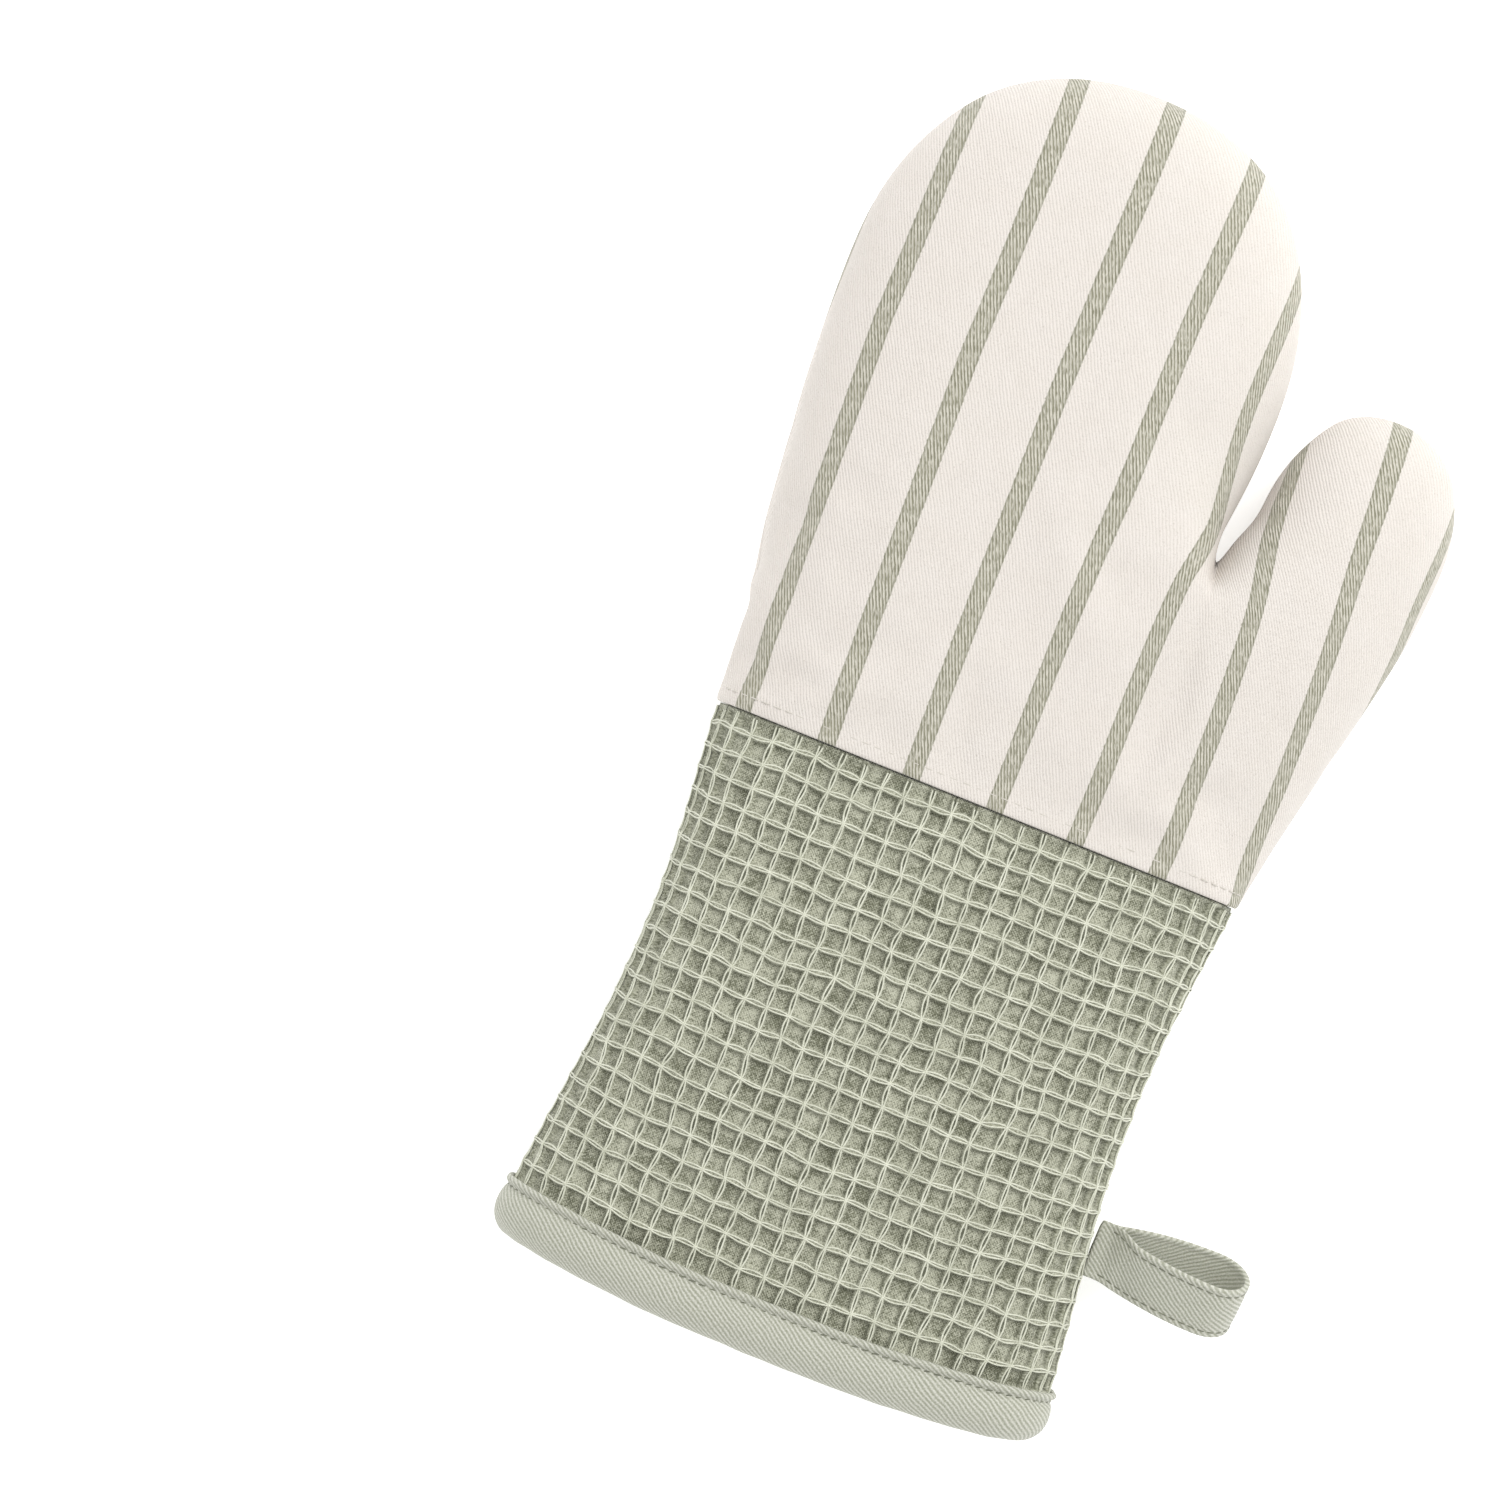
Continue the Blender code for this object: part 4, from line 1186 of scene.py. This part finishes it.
def ridge_yarns(name, cloth, waffle, material):
    """The pairs of pale yarns that float along each ridge: apart between crossings, together on them."""
    lines = []
    low_row, high_row = 11.5 * MM / CELL, (CUFF_LENGTH - 0.6 * MM) / CELL
    steps = 6
    draw = np.random.default_rng(31)
    for upright in (True, False):
        if upright:
            along = np.arange(math.floor(low_row * steps), math.ceil(high_row * steps) + 1) / steps
            ridges = range(-RIDGE_COUNT, RIDGE_COUNT + 1)
        else:
            along = np.arange(-RIDGE_COUNT * steps, RIDGE_COUNT * steps + 1) / steps
            ridges = range(math.ceil(low_row), math.floor(high_row) + 1)
        for ridge in ridges:
            for hand in (-1, 1):
                loose = draw.uniform(0.55, 1.25, 80)[np.floor(along).astype(int) + 30]
                between = np.sin(np.pi * (along - np.floor(along)))
                apart = hand * RIDGE_SPREAD / CELL * (0.36 + 0.95 * loose * between)
                a, b = (ridge + apart, along) if upright else (along, ridge + apart)
                across, up = waffle.from_cells(a, b)
                weave = np.cos(np.pi * (along + ridge)) * (1 if upright else -1)
                height = RIDGE_WEAVE * weave * (1 - between) - RIDGE_DROP - RIDGE_SAG * between
                low, high = cloth.limits(up)
                keep = (across > low + SIDE_STRIP) & (across < high - SIDE_STRIP)
                keep &= (up > LAST_RIDGE[0]) & (up < CUFF_LENGTH - LAST_RIDGE[1])
                edges = np.flatnonzero(np.diff(np.concatenate([[0], keep.astype(int), [0]])))
                for first, last in zip(edges[::2], edges[1::2]):
                    if last - first > 2:
                        part = slice(first, last)
                        line = cloth.at(across[part], up[part], height[part])
                        out = cloth.look_up(cloth.normals, across[part], up[part])
                        lines.append((line, out))
    made = tube_mesh(name, lines, RIDGE_YARN)
    give(made, material, "waffle_cotton")
    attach(made, "hand")
    return made


# ---------------------------------------------------------------- stitching


def resampled(points, spacing, closed=False):
    """The line's points at even spacing, and how far along each of them is."""
    line = np.concatenate([points, points[:1]]) if closed else points
    steps = np.concatenate([[0], np.cumsum(np.linalg.norm(np.diff(line[:, :3], axis=0), axis=1))])
    count = max(2, int(round(steps[-1] / spacing)))
    places = np.linspace(0, steps[-1], count + 1)
    if closed:
        places = places[:-1]
    return np.stack([np.interp(places, steps, line[:, k]) for k in range(line.shape[1])], axis=1), places


def stitch_row(name, line, out, thread, pitch, length, radius, closed=False, slant=0.0):
    """A row of stitches: each a short bent piece of thread that rises out of the cloth and dips back."""
    both = np.concatenate([line, out], axis=1)
    dense, places = resampled(both, 0.1 * MM, closed)
    total = places[-1] + (places[1] if closed else 0)
    count = int(total / pitch)
    step = total / count
    lines = []
    for i in range(count):
        where = (i + 0.5) * step + np.linspace(-length / 2, length / 2, 7)
        where = where % total if closed else where
        p = np.stack([np.interp(where, places, dense[:, k]) for k in range(6)], axis=1)
        up = p[:, 3:] / np.linalg.norm(p[:, 3:], axis=1)[:, None]
        share = np.linspace(-1, 1, 7)
        arch = (1 - share**4)[:, None] * up * radius * 0.9
        along = p[-1, :3] - p[0, :3]
        beside = np.cross(up, along / np.linalg.norm(along))
        lines.append((p[:, :3] + arch - up * radius * 0.8 + beside * share[:, None] * slant, up))
    made = tube_mesh(name, lines, radius, sides=6)
    give(made, *thread)
    return made


def seam_topstitch(faces, material):
    """Topstitching along the folded edge of the striped cloth, on both sides of the mitt."""
    for word, face in faces.items():
        grid = face.grid
        rows = grid.palm_ids[CUFF_ROWS : CUFF_ROWS + 3]
        heights = grid.palm_heights[CUFF_ROWS : CUFF_ROWS + 3]
        level = np.array([np.interp(CUFF_LENGTH + SEAM_STITCH, heights, np.arange(3))])
        line = cubic(face.at(-0.32 * MM if word == "palm" else 0.0)[rows], level, axis=0)[0]
        out = cubic(face.normals[rows], level, axis=0)[0]
        made = stitch_row(
            f"{word}_seam_topstitch", line[2:-2], out[2:-2],
            (material, "cream_thread", f"cuff_seam_stitching_{word}"), **SEAM_STITCHES,
        )
        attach(made, "hand")


# ---------------------------------------------------------------- hem binding


def mouth_loop(faces, spacing):
    """Closed loop round the hem's fold: places, and the direction out of the cloth at each."""
    loops = []
    for word in ("palm", "back"):
        face = faces[word]
        row = face.grid.palm_ids[0]
        fine = np.linspace(0, len(row) - 1, 400)
        loops.append(
            np.concatenate([cubic(face.points[row], fine, 0), cubic(face.normals[row], fine, 0)], axis=1)
        )
    palm, back = loops
    for end in (0, -1):
        palm[end] = (palm[end] + back[end]) / 2
    loop, places = resampled(np.concatenate([palm, back[-2:0:-1]]), spacing, closed=True)
    loop[:, 3:] /= np.linalg.norm(loop[:, 3:], axis=1)[:, None]
    return loop[:, :3], loop[:, 3:], places


BINDING_SECTION = (  # (above the hem's fold, out of the outer face), from under the lip round to the inside
    (12.7, 0.0), (13.2, 0.35), (13.3, 0.9), (13.0, 1.4), (12.5, 1.65), (11.95, 1.55), (11.45, 1.1),
    (10.9, 0.45), (10.4, 0.7), (9.9, 1.15), (9.0, 1.55), (7.6, 1.85), (6.0, 1.95), (4.4, 1.8), (3.0, 1.4),
    (1.7, 0.75), (0.5, -0.2), (-0.5, -1.3), (-1.2, -2.5), (-1.5, -3.6), (-1.2, -4.8), (-0.4, -5.9),
    (0.8, -6.8), (2.4, -7.4), (4.5, -7.7), (7.0, -7.7), (9.0, -7.5), (10.4, -7.3), (11.0, -6.9),
    (10.8, -6.3), (9.0, -6.2), (6.0, -6.2), (3.5, -6.1), (2.2, -5.0), (1.6, -3.2), (2.0, -1.2),
    (3.5, -0.1), (7.0, 0.0),
)


def hem_binding(faces, tape, thread):
    """Padded bias tape folded over the hem, with a lip above its sunken row of stitches."""
    pitch = BINDING_STITCHES["pitch"]
    places, out, run = mouth_loop(faces, 0.9 * MM)
    total = run[-1] + run[1]
    section = np.array(BINDING_SECTION) * MM
    waves = Waves(5, 30 * MM), Waves(8, 12 * MM)
    count, turn = len(places), len(section)
    points = np.empty((turn, count, 3))
    cloth = np.empty((turn, count, 2))
    steps = np.concatenate([[0], np.cumsum(np.linalg.norm(np.diff(section, axis=0), axis=1))])
    for j, (up, proud) in enumerate(section):
        uneven = 0.16 * MM * waves[0](run, 0) + 0.08 * MM * waves[1](run, up)
        on_body = smooth_step(up, 0, 4 * MM) * (proud > -1 * MM)
        near_stitch = np.exp(-((up - BINDING_STITCH) / (1.1 * MM)) ** 2) * (proud > 0)
        pucker = 0.12 * MM * np.cos(2 * np.pi * run / total * round(total / pitch)) * near_stitch
        height = up + uneven * 0.8
        depth = proud + uneven * 0.6 * on_body + pucker
        points[j] = places + out * depth[:, None]
        points[j, :, 1] += height
        cloth[j, :, 0] = run
        cloth[j, :, 1] = steps[j]
    ids = np.arange(turn * count).reshape(turn, count)
    faces_of = []
    for j in range(turn):
        k = (j + 1) % turn
        quads = np.stack([ids[j], np.roll(ids[j], -1), np.roll(ids[k], -1), ids[k]], axis=1)
        faces_of += quads.tolist()
    made = mesh_object("hem_tape", points.reshape(-1, 3), faces_of, cloth.reshape(-1, 2))
    smooth(made, 1)
    give(made, tape, "bias_tape", "hem_binding")
    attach(made, "hand")
    line = places + out * (0.55 * MM)
    line[:, 1] += BINDING_STITCH
    stitches = stitch_row(
        "hem_tape_stitches", line, out, (thread, "sage_thread", "binding_stitching"),
        closed=True, slant=0.22 * MM, **BINDING_STITCHES,
    )
    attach(stitches, "hand")


# ---------------------------------------------------------------- hanging loop


def loop_path():
    """Middle line of the loop's tape, from its root along one leg, round the fold and back: (out, up)."""
    half = LOOP_GAP / 2
    fold = LOOP_REACH - LOOP_THICK / 2 - half
    leg = []
    for out in np.linspace(-LOOP_ROOT, fold, 26)[:-1]:
        s = np.clip(out / fold, 0, 1)
        opened = (1 - (1 - s) ** 2) * smooth_step(out, 0, 5 * MM)
        leg.append((out, LOOP_THICK / 2 + (half - LOOP_THICK / 2) * opened))
    turn = np.radians(np.linspace(90, -90, 17))
    bend = np.stack([fold + half * np.cos(turn), half * np.sin(turn)], axis=1)
    upper = np.array(leg)
    return np.concatenate([upper, bend, upper[::-1] * (1, -1)])


class LoopPlace:
    """Turns (out, up, across) on the hanging loop into places beside the cuff's thumb-side seam."""

    def __init__(self):
        reach = [right_edge(LOOP_Y + half * LOOP_TAPE / 2) for half in (-1, 0, 1)]
        self.root = np.array([max(reach) + GAP + LOOP_THICK + GAP, LOOP_Y, SEAM_Z])

    def __call__(self, out, up, across):
        turn = LOOP_TWIST * smooth_step(out, 0, 9 * MM)
        along = across * np.cos(turn) - up * np.sin(turn)
        lift = across * np.sin(turn) + up * np.cos(turn)
        return self.root + np.stack([out, along, lift], axis=-1)


TAPE_SECTION = (  # (across, half thickness): folded edges stand proud of the stitched grooves
    (-7.6, 0.28), (-7.45, 0.6), (-7.1, 0.8), (-6.6, 0.82), (-6.15, 0.66), (-5.7, 0.6), (-5.2, 0.7),
    (-4.0, 0.82), (-2.0, 0.86), (0.0, 0.86),
)


def hanging_loop(tape, thread):
    """Folded tape stitched along both edges, its two ends held together in the side seam."""
    put = LoopPlace()
    path, run = resampled(loop_path(), 0.9 * MM)
    along = np.gradient(path, axis=0)
    sideways = np.stack([-along[:, 1], along[:, 0]], axis=1)
    sideways /= np.linalg.norm(sideways, axis=1)[:, None]
    half = np.array(TAPE_SECTION) * MM
    section = np.concatenate([half, half[-2::-1] * (-1, 1)])
    section = np.concatenate([section, section[::-1] * (1, -1)])
    count, turn = len(path), len(section)
    points = np.empty((count, turn, 3))
    cloth = np.empty((count, turn, 2))
    wave = Waves(12, 18 * MM)
    for j, (across, thick) in enumerate(section):
        place = path + sideways * thick
        put_at = across + 0.12 * MM * wave(run, 0 * run)
        points[:, j] = put(place[:, 0], place[:, 1], put_at)
        cloth[:, j, 0] = run
        cloth[:, j, 1] = -across
    ids = np.arange(count * turn).reshape(count, turn)
    after = np.roll(ids, -1, axis=1)
    quads = np.stack([ids[:-1], after[:-1], after[1:], ids[1:]], axis=2).reshape(-1, 4).tolist()
    quads += [ids[0][::-1].tolist(), ids[-1].tolist()]
    made = smooth(mesh_object("loop_tape", points.reshape(-1, 3), quads, cloth.reshape(-1, 2)), 1)
    give(made, tape, "bias_tape", "hanging_loop")
    pieces = [made]
    for word, sign in (("hem_side", -1), ("finger_side", 1)):
        at = np.full(count, sign * (LOOP_TAPE / 2 - LOOP_STITCH))
        line = path + sideways * 0.62 * MM
        places = put(line[:, 0], line[:, 1], at)
        above = path + sideways * 1.62 * MM
        out = put(above[:, 0], above[:, 1], at) - places
        first = int(np.searchsorted(run, 3.2 * MM))
        pieces.append(
            stitch_row(
                f"loop_stitches_{word}", places[first:-first], out[first:-first],
                (thread, "sage_thread", f"loop_stitching_{word}"), **LOOP_STITCHES,
            )
        )
    for piece in pieces:
        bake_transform(piece)


# ---------------------------------------------------------------- stage

FLOOR_REACH = 2.0
VIEW_TURN = math.radians(22)  # the mitt lies turned by this much in the view
VIEW_MIDDLE = Vector((-73.3, -25.2, 16)) * MM
VIEW_HEIGHT = 1.3
VIEW_WIDTH = 384.3 * MM
SENSOR_WIDTH = 36  # mm
LAMP_PLACE = 0.75, 0.65, 1.05  # right, up and above, from the middle of the view
LAMP_SIZE = 0.9
LAMP_POWER = 9.0


def stage():
    """Plain white floor, soft light all round with a large lamp up and to the right, camera overhead."""
    scene = bpy.context.scene
    scene.view_settings.view_transform = "Standard"
    corners = [(-1, -1, 0), (1, -1, 0), (1, 1, 0), (-1, 1, 0)]
    floor = mesh_object("floor", np.array(corners) * FLOOR_REACH - ORIGIN * (1, 1, 0), [(0, 1, 2, 3)])
    white, shader, _ = cotton("white_floor", 1.0, 0.0)
    feed(
        shader,
        {
            "Base Color": colour("#FAFAFA"),
            "Emission Color": colour("#FFFFFF"),
            "Emission Strength": 0.4,  # a lit table, which leaves no hard shadow
        },
    )
    floor.data.materials.append(white)

    world = bpy.data.worlds.new("soft_light")
    world.use_nodes = True
    feed(world.node_tree.nodes["Background"], {"Color": colour("#FFFFFF"), "Strength": 0.98})
    scene.world = world

    right = Vector((math.cos(VIEW_TURN), math.sin(VIEW_TURN), 0))
    up = Vector((-math.sin(VIEW_TURN), math.cos(VIEW_TURN), 0))
    lamp_data = bpy.data.lights.new("soft_lamp", "AREA")
    lamp_data.shape = "DISK"
    lamp_data.size = LAMP_SIZE
    lamp_data.energy = LAMP_POWER
    lamp = bpy.data.objects.new("soft_lamp", lamp_data)
    lamp.location = VIEW_MIDDLE + right * LAMP_PLACE[0] + up * LAMP_PLACE[1] + Vector((0, 0, LAMP_PLACE[2]))
    lamp.rotation_euler = (VIEW_MIDDLE - lamp.location).to_track_quat("-Z", "Y").to_euler()
    scene.collection.objects.link(lamp)

    camera_data = bpy.data.cameras.new("camera")
    camera = bpy.data.objects.new("camera", camera_data)
    scene.collection.objects.link(camera)
    camera_data.sensor_width = SENSOR_WIDTH
    camera_data.lens = SENSOR_WIDTH * VIEW_HEIGHT / VIEW_WIDTH
    camera.location = VIEW_MIDDLE + Vector((0, 0, VIEW_HEIGHT))
    camera.rotation_euler = (0, 0, VIEW_TURN)
    scene.camera = camera


# ---------------------------------------------------------------- the mitt


def main():
    stage()
    stripes = striped_twill()
    waffle_material = waffle_cotton()
    yarn = spun_yarn("sage_ridge_yarn", "#B3B5A0", "#E6E7D6")
    wadding = plain_cotton("polyester_wadding", "#CACAC6", "#D8D8D4", 3 * MM)
    lining = plain_cotton("cotton_lining", "#C3BFB5", "#D1CDC4", 0.8 * MM)
    tape = twill_tape()
    cream_thread = spun_yarn("cream_thread", "#BFB9AE", "#D2CDC5")
    sage_thread = spun_yarn("sage_thread", "#565849", "#858774")

    grid = Grid()
    faces = {"palm": Face(grid, True), "back": Face(grid, False)}
    for face in faces.values():
        face.lay_out()
    fold_faces(grid, faces)
    striped_hand(faces, stripes)
    inner_layers(faces, wadding, lining)
    for seed, (word, face) in enumerate(faces.items()):
        cloth = CuffCloth(face)
        waffle = Waffle(40 + 10 * seed)  # each face is uneven in its own way
        waffle_panel(f"{word}_waffle_cuff", cloth, waffle, waffle_material, f"cuff_{word}_panel")
        ridge_yarns(f"{word}_ridge_yarns", cloth, waffle, yarn)
    seam_topstitch(faces, cream_thread)
    hem_binding(faces, tape, sage_thread)
    hanging_loop(tape, sage_thread)


main()
